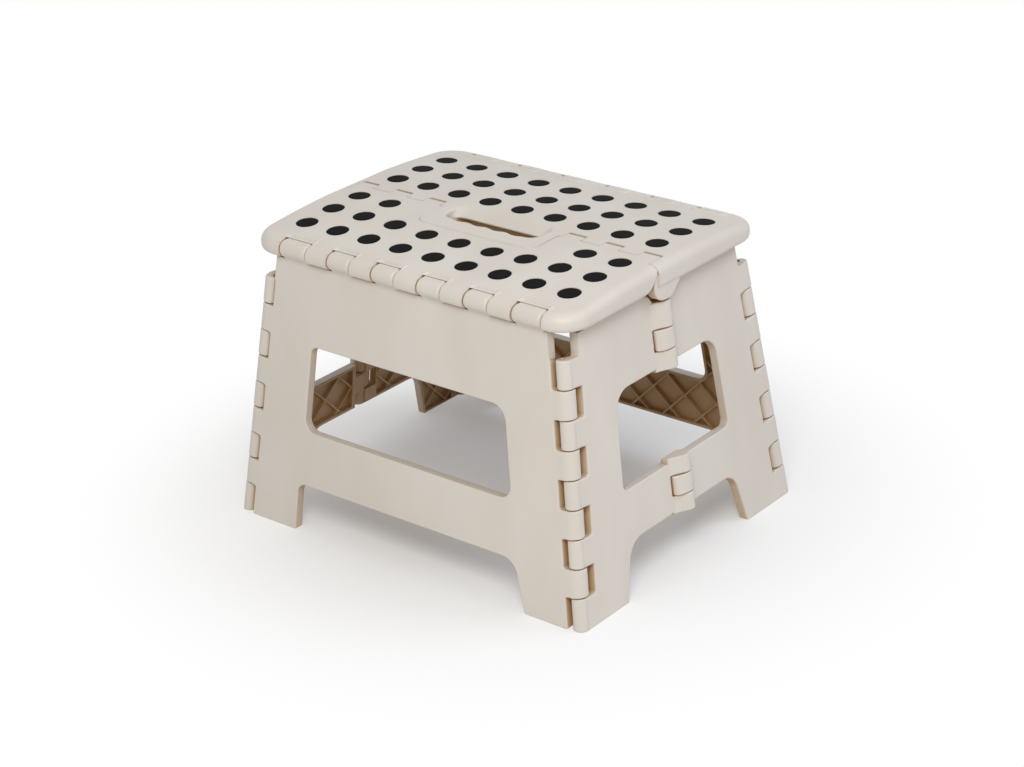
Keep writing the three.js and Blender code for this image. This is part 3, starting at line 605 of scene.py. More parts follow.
def tonguePlan(gap):
    half, reach = tongue["half"] + gap, -tongue["reach"] - gap
    high = seam["reach"] + stool["overrun"]
    return rounded([(half, high, 0), (-half, high, 0), (-half, reach, tongue["round"]),
                    (half, reach, tongue["round"])], steps=8)


def rearPlan():
    # The rear plate's edge runs round the same fingers the other way, and round its tongue
    ease, gap, far = seam["round"], stool["partGap"], stool["wide"]
    corners = [(far, -seam["earSeam"], 0), (rearFingers()[-1][0], -seam["earSeam"], 0)]
    for low, high in reversed(widened(frontFingers(), seam["sideGap"])):
        corners.append((high, seam["reach"] + gap, ease))
        corners += [(low, seam["reach"] + gap, ease), (low, -seam["reach"], ease)]
        corners.append((low - (seam["pitch"] - seam["width"] - 2 * seam["sideGap"]), -seam["reach"], ease))
    corners.pop()  # past the first finger comes the tongue
    corners += [(tongue["half"], -seam["reach"], 0), (tongue["half"], -tongue["reach"], tongue["round"])]
    mirrored = [(-across, along, reach) for across, along, reach in reversed(corners)]
    return rounded(corners + mirrored + [(-far, far, 0), (far, far, 0)], steps=3)


# The knuckles along the front and rear edges, and their notches in the plates. The outermost are
# wider by outerExtra, and the whole row lies a little off the middle by shift.
knuckles = {"count": 6, "pitch": 39.0, "width": 19.6, "outerExtra": 3.8, "shift": 2.5, "tongueReach": 7.0,
            "tongueHeight": 6.1, "panelTopGap": 1.2, "root": 4.5, "ease": 2.3, "rootFillet": 3.0,
            "frontEnd": math.radians(232), "filletReach": 3.2, "filletDrop": 1.4, "filletSteps": 8,
            "backGap": 0.04, "sideGaps": [0.3, 0.9], "notchSides": 64}


def knuckleSpans(side):
    spans = []
    last = knuckles["count"] - 1
    for place in range(knuckles["count"]):
        middle = (place - last / 2) * knuckles["pitch"] - side * knuckles["shift"]
        low = middle - knuckles["width"] / 2 - (knuckles["outerExtra"] if place == 0 else 0)
        high = middle + knuckles["width"] / 2 + (knuckles["outerExtra"] if place == last else 0)
        spans.append((low, high))
    return spans


def outerNotches(side):
    centre = (-stool["hingeOffset"], hingeHeight)
    left, right = knuckles["sideGaps"]
    spans = [(low - left, high + right) for low, high in knuckleSpans(side)]
    reach = knuckles["tongueReach"] + knuckles["backGap"]
    tools = [rod("x", reach, low, high, centre, sides=knuckles["notchSides"]) for low, high in spans]
    first, last = spans[0][0] - rods["overhang"], spans[-1][1] + rods["overhang"]
    tools.append(rod("x", rods["bore"], first, last, centre, sides=rods["boreSides"]))
    if side > 0:
        for tool in tools:
            moved(tool, halfTurn)
    return tools


def plateCavity(side, grow=0.0):
    # The room under a plate's skin, between its two rows of hinges
    inner = seam["solidHalf"] - grow
    outer = stool["hingeOffset"] - knuckles["tongueReach"] - stool["partGap"] - stool["skinWall"] + grow
    low = plateBottom - stool["overrun"]
    steps = rim["cavitySteps"]
    reaches = [inner + (outer - inner) * step / steps for step in range(steps + 1)]
    roof = [(side * reach, crownHeight(reach) - stool["skinWall"] + grow) for reach in reaches]
    section = [(side * inner, low)] + roof + [(side * outer, low)]
    half = halfLength - rim["cavityWall"] + grow
    corner = stool["cornerRadius"] / 2
    plan = rounded([(-half, side * inner, 0), (half, side * inner, 0),
                    (half, side * outer, corner), (-half, side * outer, corner)])
    return common(prism("x", section, plain(-half, half)), prism("z", plan, plain(low, stool["height"])))


# The grip dots, and the ribs under the skin that run between them
grips = {"pitch": 28.0, "columns": 9, "radius": 7.68, "hole": 7.78, "holeDepth": 8.0, "holeRise": 6.0,
         "rows": [20.3, 46.9, 73.5], "proud": 0.1, "runnerWidth": 5.0, "runnerHeight": 1.6, "runnerGap": 0.3,
         "runnerFoot": 1.0, "pairColumns": 2, "sides": 48, "edgeDrop": 0.35}
plateRibs = {"columns": [0, 2, 5, 7], "wall": 1.6, "depth": 6.0, "seat": 1.0, "below": 1.0, "steps": 12}


def columnX(column):
    return (column - (grips["columns"] - 1) / 2) * grips["pitch"]


def gripColumnsOf(row, side):
    # The tongue parts the front plate's first row in two
    every = list(range(grips["columns"]))
    if side < 0 and row == grips["rows"][0]:
        return [every[:grips["pairColumns"]], every[-grips["pairColumns"]:]]
    return [every]


def gripTilt(row, side):
    return side * math.atan(2 * stool["crownRate"] * row) if row > stool["crownFlat"] else 0.0


def gripHoles(side):
    tools = []
    for row in grips["rows"]:
        turn = Matrix.Rotation(-gripTilt(row, side), 4, "X")
        for columns in gripColumnsOf(row, side):
            for column in columns:
                hole = rod("z", grips["hole"], -grips["holeDepth"], grips["holeRise"], sides=grips["sides"])
                place = shift(columnX(column), side * row, topSurface(columnX(column), side * row))
                tools.append(moved(hole, place @ turn))
    return tools


def ribGrid(side):
    wall = plateRibs["wall"] / 2
    low = plateBottom - plateRibs["below"]
    tools = [box((columnX(column) + grips["pitch"] / 2 - wall, -halfDepth, low),
                 (columnX(column) + grips["pitch"] / 2 + wall, halfDepth, stool["height"]))
             for column in plateRibs["columns"]]
    for near, far in zip(grips["rows"], grips["rows"][1:]):
        middle = side * (near + far) / 2
        tools.append(box((-halfLength, middle - wall, low), (halfLength, middle + wall, stool["height"])))
    ribs = join(tools[0], *tools[1:])
    steps = plateRibs["steps"]
    depth = stool["skinWall"] + plateRibs["depth"]
    reaches = [halfDepth * step / steps for step in range(steps + 1)]
    section = [(side * reach, crownHeight(reach) - depth) for reach in reaches]
    section += [(side * halfDepth, stool["height"]), (0, stool["height"])]
    band = prism("x", section, plain(-halfLength, halfLength))
    return common(ribs, band, plateCavity(side, plateRibs["seat"]))


def centreKnuckles(side, spans):
    # Barrels round the centre rods, each on a web that reaches back under its plate
    reach, barrel = seam["reach"], seam["barrel"]
    rise = math.sqrt(barrel ** 2 - reach ** 2)
    lean = barrel * math.sqrt(0.5)
    web = [(side * seam["webReach"], plateBottom), (side * lean, centreHeight - lean),
           (-side * reach, centreHeight + rise), (-side * reach, plateBottom + stool["skinWall"]),
           (side * seam["webReach"], plateBottom + stool["skinWall"])]
    tools = []
    for low, high in spans:
        for first, last in ((low, high), (-high, -low)):
            tools.append(join(rod("x", barrel, first, last, (0, centreHeight), ease=seam["barrelEase"]),
                              prism("x", web, plain(first, last))))
    return tools


def centreRoom(spans):
    # Room for the other plate's barrels to turn in
    tools = []
    for low, high in widened(spans, seam["sideGap"]):
        for first, last in ((low, high), (-high, -low)):
            tools.append(rod("x", seam["barrel"] + seam["swing"], first, last, (0, centreHeight)))
    return tools


def centreBores():
    low = tongue["half"] + stool["skinWall"]
    high = halfLength - seam["earInset"] - rods["cover"]
    return [rod("x", rods["bore"], first, last, (0, centreHeight), sides=rods["boreSides"])
            for first, last in ((low, high), (-high, -low))]


def slotRing(depth, grow):
    # The slot's outline at a depth: its far wall slopes in, and its near wall has finger waves
    near, half = slot["near"], slot["half"]
    share = min(1.0, max(0.0, depth) / slot["throatDepth"])
    far = slot["far"] + (slot["throat"] - slot["far"]) * share
    reach = min(slot["round"], (far - near) / 2 - slot["roundSpare"])
    outline = rounded([(half, far, reach), (-half, far, reach), (-half, near, reach), (half, near, reach)],
                      steps=slot["roundSteps"])
    cornersDone = 3 * (slot["roundSteps"] + 1)
    waves = []
    steps = slot["waveSteps"]
    flat = half - slot["round"]
    for step in range(1, steps):
        across = -flat + 2 * flat * step / steps
        swell = 0.5 - 0.5 * math.cos(2 * math.pi * across / slot["wavePitch"])
        fade = ramp(flat - abs(across), 0, slot["waveFade"])
        waves.append((across, near - slot["waveDepth"] * swell * fade))
    outline = outline[:cornersDone] + waves + outline[cornersDone:]
    return offset(outline, grow)


def slotUndercut():
    # Below its sloping far wall the slot opens out, so that it looks deep
    top = stool["height"] - slot["throatDepth"] - slot["lip"]
    low = plateBottom - stool["overrun"]
    near = slot["near"] + slot["undercutNear"]
    outline = [(near, low), (near, top), (slot["throat"], top),
               (slot["far"], stool["height"] - slot["wall"]), (slot["far"], low)]
    half = slot["half"] - slot["undercutSide"]
    return prism("x", outline, plain(-half, half))


def handSlot():
    surface = stool["height"]
    rings = []
    radius = slot["edge"]
    steps = slot["edgeSteps"]
    depths = [radius * step / steps for step in range(steps + 1)] + [slot["slopeDepth"], slot["throatDepth"]]
    for depth in [-stool["overrun"]] + depths + [stool["rimThickness"] + stool["overrun"]]:
        inside = min(radius, max(0.0, depth))
        grow = radius - math.sqrt(max(0.0, radius ** 2 - (radius - inside) ** 2))
        rings.append([(across, along, surface - depth) for across, along in slotRing(depth, grow)])
    return loft(rings)


# The ears that close the ends of the centre hinge, from the side: (along, up from the plates' underside).
# The relief makes room for an ear in the front plate. The fin is a thin wall behind the gap between them.
ear = {
    "outline": [(-12, 11), (-15.2, 8.4), (-16, 4.4), (-15, -1.6), (-12.4, -5.8), (-8, -8.4),
                (-1, -9.3), (4.4, -7.8), (8.8, -3.6), (12, 0), (12.4, 3)],
    "relief": [(-12.4, 14), (-15.8, 9.6), (-20.2, 4.8), (-25.4, 1.4), (-30, 0)],
    "ease": 0.8,
    "finAcross": [114.5, 116.3],
    "fin": [(-12.0, 173.5), (9.0, 189.5)],  # (along, height) of its lower and upper corners
}


def smoothLine(points, steps=5):
    # An open curve through the points
    line = [Vector(point) for point in points]
    made = []
    for place in range(len(line) - 1):
        before = line[max(0, place - 1)]
        after = line[min(len(line) - 1, place + 2)]
        start, end = line[place], line[place + 1]
        for step in range(steps):
            t = step / steps
            a = 2 * t ** 3 - 3 * t ** 2 + 1
            b = t ** 3 - 2 * t ** 2 + t
            c = t ** 3 - t ** 2
            made.append(tuple(a * start + b * (end - before) / 2 + (1 - a) * end + c * (after - start) / 2))
    return made + [tuple(line[-1])]


def raised(points):
    return [(across, plateBottom + up) for across, up in points]


def twoSided(outline, low, high, ease=0.0):
    levels = (lambda a, b: eased(a, b, ease)) if ease else plain
    return [prism("x", outline, levels(low, high)), prism("x", outline, levels(-high, -low))]


def earRelief():
    (_, top), (back, _) = raised([ear["relief"][0], ear["relief"][-1]])
    low = plateBottom - stool["overrun"]
    return smoothLine(raised(ear["relief"])) + [(back, low), (0, low), (0, top)]


def earFins():
    low, high = ear["finAcross"]
    near, far = ear["fin"]
    return [box((-high, *near), (-low, *far)), box((low, *near), (high, *far))]


lips = {"radius": 2.0, "proud": 1.1, "out": 0.9, "corner": 4.5, "nearCorner": 1.2, "frontInset": 2.2,
        "sides": 16, "tongueRadius": 1.6, "tongueProud": 0.12, "tongueInset": 1.3, "tongueBack": 6.0}


def bead(path, radius, proud):
    # A half-round bead on the top, along the path
    rings = []
    for place, (across, along) in enumerate(path):
        before, after = path[max(0, place - 1)], path[min(len(path) - 1, place + 1)]
        heading = Vector((after[0] - before[0], after[1] - before[1])).normalized()
        sideways = Vector((heading.y, -heading.x))
        edgeShare = ramp(abs(along), halfDepth - rim["roundWidth"], halfDepth)
        surface = crownHeight(along) - rim["roundHeight"] * (1 - math.sqrt(max(0, 1 - edgeShare ** 2)))
        centre = surface - radius + proud
        rings.append([(across + sideways.x * radius * math.cos(turn),
                       along + sideways.y * radius * math.cos(turn),
                       centre + radius * math.sin(turn))
                      for turn in (2 * math.pi * spot / lips["sides"] for spot in range(lips["sides"]))])
    return loft(rings)


def notchLips(side):
    # Low rounded beads on the plate round the back of each knuckle's notch
    tools = []
    for low, high in widened(knuckleSpans(side), lips["out"]):
        back = -stool["hingeOffset"] + knuckles["tongueReach"] + lips["out"]
        front = -halfDepth + lips["frontInset"]
        path = rounded([(low, front, 0), (low, back, lips["corner"]),
                        (high, back, lips["nearCorner"]), (high, front, 0)])
        tools.append(bead(path, lips["radius"], lips["proud"]))
        if side > 0:
            moved(tools[-1], halfTurn)
    return tools


def tongueLip():
    # A very low bead along the edge of the tongue
    inset = lips["tongueInset"]
    half, reach = tongue["half"] - inset, -tongue["reach"] + inset
    back = -seam["reach"] - lips["tongueBack"]
    path = rounded([(half, back, 0), (half, reach, tongue["round"] - inset),
                    (-half, reach, tongue["round"] - inset), (-half, back, 0)], steps=8)
    return bead(path, lips["tongueRadius"], lips["tongueProud"])


def topFrontPlate(whole):
    low, high = 0.0, stool["height"] + stool["overrun"]
    plate = common(whole, prism("z", frontPlan(), plain(low, high)))
    pocket = prism("z", tonguePlan(stool["partGap"] + stool["skinWall"]), plain(low, high))
    hollow = cut(plateCavity(-1), pocket)
    cut(plate, hollow)
    join(plate, ribGrid(-1), *notchLips(-1))
    fingers = frontFingers()
    cut(plate, *twoSided(earRelief(), fingers[-1][1], halfLength + stool["overrun"]))
    cut(plate, *centreRoom(rearFingers()[:-1]),
        prism("z", tonguePlan(seam["tongueGap"]), flared(stool["height"], -1, low, seam["tongueEase"])))
    cut(plate, *outerNotches(-1))
    cut(plate, *gripHoles(-1))
    join(plate, *centreKnuckles(-1, fingers))
    return cut(join(plate, *earFins()), *centreBores())


def topRearPlate(whole):
    low, high = 0.0, stool["height"] + stool["overrun"]
    plate = common(whole, prism("z", rearPlan(), plain(low, high)))
    cut(plate, plateCavity(1))
    join(plate, ribGrid(1), *notchLips(1), tongueLip())
    cut(plate, *centreRoom(frontFingers()), *outerNotches(1))
    cut(plate, *gripHoles(1))
    cut(plate, slotUndercut(), handSlot())
    earLow, earHigh = rearFingers()[-1]
    outline = smoothLine(raised(ear["outline"]))
    join(plate, *centreKnuckles(1, rearFingers()[:-1]), *twoSided(outline, earLow, earHigh, ear["ease"]))
    return cut(plate, *centreBores())


whole = closedTop()
print("closed top made")
frontPlate = topFrontPlate(copyOf(whole))
rearPlate = topRearPlate(whole)
finishPiece(frontPlate, "frontPlateMoulding", "front_plate", ["top_front_plate"], plastic)
finishPiece(rearPlate, "rearPlateMoulding", "rear_plate", ["top_rear_plate"], plastic)


# Geometry Nodes: discs on points, and bars in a row

def newTree(name, inputs):
    tree = bpy.data.node_groups.new(name, "GeometryNodeTree")
    tree.interface.new_socket("Geometry", in_out="INPUT", socket_type="NodeSocketGeometry")
    for label, kind in inputs.items():
        tree.interface.new_socket(label, in_out="INPUT", socket_type="NodeSocket" + kind)
    tree.interface.new_socket("Geometry", in_out="OUTPUT", socket_type="NodeSocketGeometry")
    return tree


def closeTree(tree, given, geometry):
    whole = addNode(tree, "GeometryNodeRealizeInstances", links={"Geometry": geometry})
    dressed = addNode(tree, "GeometryNodeSetMaterial",
                      links={"Geometry": whole.outputs[0], "Material": given.outputs["Material"]})
    addNode(tree, "NodeGroupOutput", links={"Geometry": dressed.outputs[0]})


def discTree():
    # One disc on every point, tilted, its top easing down towards its edge
    tree = newTree("gripDiscs", {"Radius": "Float", "Depth": "Float", "Edge Drop": "Float", "Sides": "Int",
                                 "Tilt": "Float", "Material": "Material"})
    given = addNode(tree, "NodeGroupInput")
    disc = addNode(tree, "GeometryNodeMeshCylinder", {"Fill Segments": 10},
                   {"Vertices": given.outputs["Sides"], "Radius": given.outputs["Radius"],
                    "Depth": given.outputs["Depth"]}, fill_type="TRIANGLE_FAN")
    spot = addNode(tree, "GeometryNodeInputPosition")
    parts = addNode(tree, "ShaderNodeSeparateXYZ", links={"Vector": spot.outputs[0]})
    level = addNode(tree, "ShaderNodeCombineXYZ", links={"X": parts.outputs["X"], "Y": parts.outputs["Y"]})
    reach = addNode(tree, "ShaderNodeVectorMath", links={0: level.outputs[0]}, operation="LENGTH")
    share = addNode(tree, "ShaderNodeMath", links={0: reach.outputs["Value"], 1: given.outputs["Radius"]},
                    operation="DIVIDE")
    steep = addNode(tree, "ShaderNodeMath", {1: 12.0}, {0: share.outputs[0]}, operation="POWER")
    drop = addNode(tree, "ShaderNodeMath", links={0: steep.outputs[0], 1: given.outputs["Edge Drop"]},
                   operation="MULTIPLY")
    down = addNode(tree, "ShaderNodeMath", {1: -1.0}, {0: drop.outputs[0]}, operation="MULTIPLY")
    move = addNode(tree, "ShaderNodeCombineXYZ", links={"Z": down.outputs[0]})
    isTop = addNode(tree, "FunctionNodeCompare", {"B": 0.0}, {"A": parts.outputs["Z"]},
                    data_type="FLOAT", operation="GREATER_THAN")
    eased = addNode(tree, "GeometryNodeSetPosition",
                    links={"Geometry": disc.outputs["Mesh"], "Selection": isTop.outputs[0],
                           "Offset": move.outputs[0]})
    turn = addNode(tree, "ShaderNodeCombineXYZ", links={"X": given.outputs["Tilt"]})
    spread = addNode(tree, "GeometryNodeInstanceOnPoints",
                     links={"Points": given.outputs["Geometry"], "Instance": eased.outputs[0],
                            "Rotation": turn.outputs[0]})
    closeTree(tree, given, spread.outputs[0])
    return tree


def barTree():
    # Equal bars side by side, centred on the origin
    tree = newTree("ribBars", {"Count": "Int", "Spacing": "Float", "Length": "Float", "Wall": "Float",
                               "Depth": "Float", "Material": "Material"})
    given = addNode(tree, "NodeGroupInput")
    size = addNode(tree, "ShaderNodeCombineXYZ",
                   links={"X": given.outputs["Wall"], "Y": given.outputs["Length"],
                          "Z": given.outputs["Depth"]})
    bar = addNode(tree, "GeometryNodeMeshCube", links={"Size": size.outputs[0]})
    step = addNode(tree, "ShaderNodeCombineXYZ", links={"X": given.outputs["Spacing"]})
    fewer = addNode(tree, "ShaderNodeMath", {1: 1.0}, {0: given.outputs["Count"]}, operation="SUBTRACT")
    span = addNode(tree, "ShaderNodeMath", links={0: fewer.outputs[0], 1: given.outputs["Spacing"]},
                   operation="MULTIPLY")
    back = addNode(tree, "ShaderNodeMath", {1: -0.5}, {0: span.outputs[0]}, operation="MULTIPLY")
    start = addNode(tree, "ShaderNodeCombineXYZ", links={"X": back.outputs[0]})
    row = addNode(tree, "GeometryNodeMeshLine",
                  links={"Count": given.outputs["Count"], "Start Location": start.outputs[0],
                         "Offset": step.outputs[0]}, mode="OFFSET")
    spread = addNode(tree, "GeometryNodeInstanceOnPoints",
                     links={"Points": row.outputs[0], "Instance": bar.outputs["Mesh"]})
    closeTree(tree, given, spread.outputs[0])
    return tree


def grown(tree, points, values):
    # An object on the given points (in millimetres), run through the tree and made a plain mesh
    made = newObject("grown", points, [])
    step = made.modifiers.new("grow", "NODES")
    step.node_group = tree
    places = {item.name: item.identifier for item in tree.interface.items_tree if item.in_out == "INPUT"}
    for label, value in values.items():
        step[places[label]] = value
    return settle(made)


gripTree = discTree()
ribTree = barTree()
print("node trees made")


def gripStrip(side, row, columns):
    # A row of dots on the runner that joins them under the skin
    runnerTop = crownHeight(row + grips["radius"]) - stool["skinWall"] - grips["runnerGap"]
    depth = crownHeight(row) - runnerTop + grips["runnerHeight"] / 2
    lift = grips["proud"] - depth / 2
    centres = []
    for column in columns:
        across = columnX(column)
        centres.append((across, side * row, topSurface(across, side * row) + lift))
    discs = grown(gripTree, centres, {"Radius": grips["radius"] * mm, "Depth": depth * mm,
                                      "Edge Drop": grips["edgeDrop"] * mm, "Sides": grips["sides"],
                                      "Tilt": -gripTilt(row, side), "Material": rubber})
    half = grips["runnerWidth"] / 2
    runnerFoot = runnerTop - grips["runnerHeight"] - grips["runnerFoot"]
    runner = box((columnX(columns[0]), side * row - half, runnerFoot),
                 (columnX(columns[-1]), side * row + half, runnerTop))
    return join(discs, runner)


for side, plate in ((-1, "front"), (1, "rear")):
    for number, row in enumerate(grips["rows"], 1):
        strips = gripColumnsOf(row, side)
        for place, columns in enumerate(strips):
            end = ("_left", "_right")[place] if len(strips) > 1 else ""
            label = f"{plate}_grip_row_{number}{end}"
            strip = gripStrip(side, row, columns)
            finishPiece(strip, label + "_dots", plate + "_plate", [label], rubber)


# The long leg panels

# An opening's halves are left and right of the middle, and its corners' reaches run round from the
# lower left
long = {"window": {"top": 136.5, "bottom": 74.5, "topHalves": [84.0, 83.0], "bottomHalves": [90.0, 91.0],
                   "rounds": [9.0, 10.0, 10.0, 5.5]},
        "arch": {"top": 34.5, "bottom": 0.0, "topHalves": [96.0, 95.0], "bottomHalves": [98.5, 105.0],
                 "rounds": [0.0, 0.0, 10.0, 7.0]},
        "edge": 1.2}

# The barrels at the four corners, from the top: the end panel has the even ones, the long panel the odd
corner = {"radius": 7.0, "count": 9, "topHeight": 176.0, "pitch": 19.4, "axialGap": 0.5, "sides": 56,
          "longInset": 5.2, "endInset": 10.4, "endRadius": 5.2, "endCentre": [1.8, -0.9],
          "ease": 1.1, "edge": 1.5, "pocketRound": 1.6}
lattice = {"wall": 1.4, "depth": 3.4, "spacing": 19.5, "seat": 1.0}

# The corner axes lean along with both panels
cornerX = stool["endFace"] - corner["radius"] / math.cos(stool["endTilt"])
cornerY = stool["hingeOffset"] - corner["radius"] / math.cos(stool["longTilt"])
longSlope = math.tan(stool["endTilt"]) * math.cos(stool["longTilt"])
endSlope = math.tan(stool["longTilt"]) * math.cos(stool["endTilt"])
cornerStretch = math.hypot(1, math.tan(stool["endTilt"]), math.tan(stool["longTilt"]))


def alongLong(height):
    # A height above the floor, measured along a long panel from its hinge
    return (height - hingeHeight) / math.cos(stool["longTilt"])


def alongEnd(height):
    return (height - hingeHeight) / math.cos(stool["endTilt"])


def alongCorner(height):
    return (height - hingeHeight) * cornerStretch


def opening(sizes, along, grow):
    left, right = [[sizes[row][side] for row in ("topHalves", "bottomHalves")] for side in (0, 1)]
    high, low = along(sizes["top"]) + grow, along(sizes["bottom"]) - grow
    if sizes["bottom"] == 0:
        # An arch runs on below the floor, in line with its sides
        low = 2 * along(0) - along(sizes["top"]) - grow
        left[1] += left[1] - left[0]
        right[1] += right[1] - right[0]
    corners = [(-left[1] - grow, low), (right[1] + grow, low),
               (right[0] + grow, high), (-left[0] - grow, high)]
    return rounded([(*spot, reach) for spot, reach in zip(corners, sizes["rounds"])], steps=8)


def panelOpenings(sizes, along, grow=0.0):
    return [opening(sizes[kind], along, grow) for kind in ("window", "arch")]


def shortened(sizes, less):
    # The same openings with every half width smaller
    made = dict(sizes)
    for kind in ("window", "arch"):
        made[kind] = dict(sizes[kind])
        for row in ("topHalves", "bottomHalves"):
            made[kind][row] = [half - less for half in sizes[kind][row]]
    return made


def cornerRange(place, gap):
    # A barrel's span along the corner's axis; the last one runs on below the floor and is cut off there
    top = alongCorner(corner["topHeight"] - place * corner["pitch"])
    last = place == corner["count"] - 1
    low = -corner["pitch"] if last else corner["topHeight"] - (place + 1) * corner["pitch"]
    return alongCorner(low) + gap, top - gap


def cornerBarrels(parity, radius, centre, matrix):
    tools = []
    for place in range(parity, corner["count"], 2):
        low, high = cornerRange(place, corner["axialGap"] / 2)
        barrel = rod("z", radius, low, high, centre, corner["ease"], corner["sides"])
        tools.append(moved(barrel, matrix))
    return tools


def cornerBore(matrix):
    low, high = alongCorner(0) - stool["overrun"], alongCorner(corner["topHeight"]) + stool["overrun"]
    return moved(rod("z", rods["bore"], low, high, sides=rods["boreSides"]), matrix)


# Where the right corner's axis stands in the frame of the front panel, and in the right end panel's
onLong = (shift(cornerX, corner["radius"], corner["radius"] * math.tan(stool["longTilt"]))
          @ Matrix.Rotation(-math.atan(longSlope), 4, "Y"))
onEnd = (shift(-corner["radius"], -cornerY, corner["radius"] * math.tan(stool["endTilt"]))
         @ Matrix.Rotation(-math.atan(endSlope), 4, "X"))
frontFrame = shift(0, -stool["hingeOffset"], hingeHeight) @ Matrix.Rotation(-stool["longTilt"], 4, "X")
rightFrame = shift(stool["endFace"], 0, hingeHeight) @ Matrix.Rotation(-stool["endTilt"], 4, "Y")


# These stand the lattice, made flat, behind the face of a long panel or an end panel
behindLong = Matrix(((1, 0, 0, 0), (0, 0, -1, 0), (0, 1, 0, 0), (0, 0, 0, 1)))
behindEnd = Matrix(((0, 0, 1, 0), (1, 0, 0, 0), (0, 1, 0, 0), (0, 0, 0, 1)))


def latticeBars(half, low, high, depthLow, depthHigh):
    # Two crossing sets of bars over a field from -half to half and from low to high
    reach = half + (high - low) / 2
    step = lattice["spacing"] * math.sqrt(2)
    count = 2 * math.ceil(reach / step) + 1
    made = []
    for turn in (1, -1):
        bars = grown(ribTree, [(0, 0, 0)], {"Count": count, "Spacing": lattice["spacing"] * mm,
                                            "Length": 2 * math.sqrt(2) * reach * mm,
                                            "Wall": lattice["wall"] * mm,
                                            "Depth": (depthHigh - depthLow) * mm, "Material": plastic})
        moved(bars, shift(0, (low + high) / 2, (depthLow + depthHigh) / 2)
              @ Matrix.Rotation(turn * math.pi / 4, 4, "Z"))
        made.append(bars)
    return join(made[0], made[1])


def arc(radius, start, finish, steps):
    turns = [start + (finish - start) * step / steps for step in range(steps + 1)]
    return [(radius * math.cos(turn), radius * math.sin(turn)) for turn in turns]


def fillet(start, bend, end, steps):
    # A curve that leaves the start towards the bend and reaches the end from it
    shares = [step / steps for step in range(1, steps + 1)]
    start, bend, end = Vector(start), Vector(bend), Vector(end)
    return [tuple((1 - t) ** 2 * start + 2 * t * (1 - t) * bend + t ** 2 * end) for t in shares]


def knuckleSection():
    # Barrel on the hinge axis, a tongue level with the top, and an arm down to the panel
    radius, reach = stool["barrelRadius"], knuckles["tongueReach"]
    armAngle = math.asin((plateBottom - hingeHeight) / reach)
    tongueAngle = math.asin(knuckles["tongueHeight"] / reach)
    finish = knuckles["frontEnd"]
    points = arc(reach, armAngle, tongueAngle, 16) + arc(radius, math.pi / 2, finish, 24)
    tilt = stool["longTilt"]
    turned = [(across * math.cos(tilt) - up * math.sin(tilt), across * math.sin(tilt) + up * math.cos(tilt))
              for across, up in points]
    start = turned[-1]
    heading = Vector((-math.sin(finish + tilt), math.cos(finish + tilt)))
    foot = -radius - knuckles["rootFillet"] - knuckles["filletDrop"]
    bend = (0.0, start[1] + heading.y * knuckles["filletReach"])
    turned += fillet(start, bend, (0.0, foot), knuckles["filletSteps"])
    depth = stool["panelDepth"]
    return turned + [(depth, foot), (depth, -radius - knuckles["panelTopGap"])]


def legPanel(side):
    # Made in a frame on its hinge axis, upright, with its outer face at the front
    overrun, depth, wide = stool["overrun"], stool["panelDepth"], stool["wide"]
    top = -stool["barrelRadius"] - knuckles["panelTopGap"]
    foot = alongLong(0) - overrun
    base = corner["radius"] * math.tan(stool["longTilt"])  # the level at which cornerX holds

    def edgeAt(level, inset):
        return cornerX - (level - base) * longSlope - inset

    def sheet(high, low, inset):
        return [(-edgeAt(low, inset), low), (edgeAt(low, inset), low),
                (edgeAt(high, inset), high), (-edgeAt(high, inset), high)]

    def hollowShape(grow, far):
        high, low = top - knuckles["root"] + grow, alongLong(0) + stool["sideWall"] - grow
        inset = corner["longInset"] + stool["sideWall"] - grow
        shape = prism("y", sheet(high, low, inset), plain(stool["faceWall"] - grow, far))
        walls = panelOpenings(long, alongLong, stool["sideWall"] - grow)
        return cut(shape, *[prism("y", wall, plain(-overrun, depth + 2 * overrun)) for wall in walls])

    panel = prism("y", sheet(top, foot, 0), plain(0, depth))
    cut(panel, hollowShape(0, depth + overrun))
    low, high = stool["faceWall"] - lattice["seat"], stool["faceWall"] + lattice["depth"]
    bars = latticeBars(edgeAt(foot, 0), foot, 0, -high, -low)
    moved(bars, behindLong)
    join(panel, common(bars, hollowShape(lattice["seat"], depth)))
    cut(panel, *[prism("y", shape, flared(0, 1, depth + overrun, long["edge"]))
                 for shape in panelOpenings(long, alongLong)])
    pockets = []
    inset = corner["longInset"]
    for matrix in (onLong, mirrorX @ onLong):
        for place in range(0, corner["count"], 2):
            low, high = cornerRange(place, -corner["axialGap"] / 2)
            ease = corner["pocketRound"]
            shape = rounded([(-inset, low, ease), (wide, low, 0), (wide, high, 0), (-inset, high, ease)])
            pocket = prism("y", shape, flared(-corner["radius"], 1, wide, corner["edge"]))
            pockets.append(moved(pocket, matrix))
        neck = cornerRange(0, 0)[1]
        pockets.append(moved(box((-inset, -wide, neck), (wide, wide, wide)), matrix))
    cut(panel, *pockets)
    for matrix in (onLong, mirrorX @ onLong):
        join(panel, *cornerBarrels(1, corner["radius"], (0, 0), matrix))
    section = knuckleSection()
    join(panel, *[prism("x", section, eased(low, high, knuckles["ease"]))
                  for low, high in knuckleSpans(side)])
    floor = moved(box((-wide, -wide, -wide), (wide, wide, 0)),
                  Matrix.Rotation(stool["longTilt"], 4, "X") @ shift(0, 0, -hingeHeight))
    bore = rod("x", rods["bore"], -halfLength, halfLength, sides=rods["boreSides"])
    return cut(panel, cornerBore(onLong), cornerBore(mirrorX @ onLong), bore, floor)


for side, name, turn in ((-1, "front", unturned), (1, "rear", halfTurn)):
    panel = moved(legPanel(side), turn @ frontFrame)
    finishPiece(panel, name + "LegMoulding", name + "_leg", [name + "_leg_panel"], plastic)


# The end panels, each in two halves that hinge on short pins

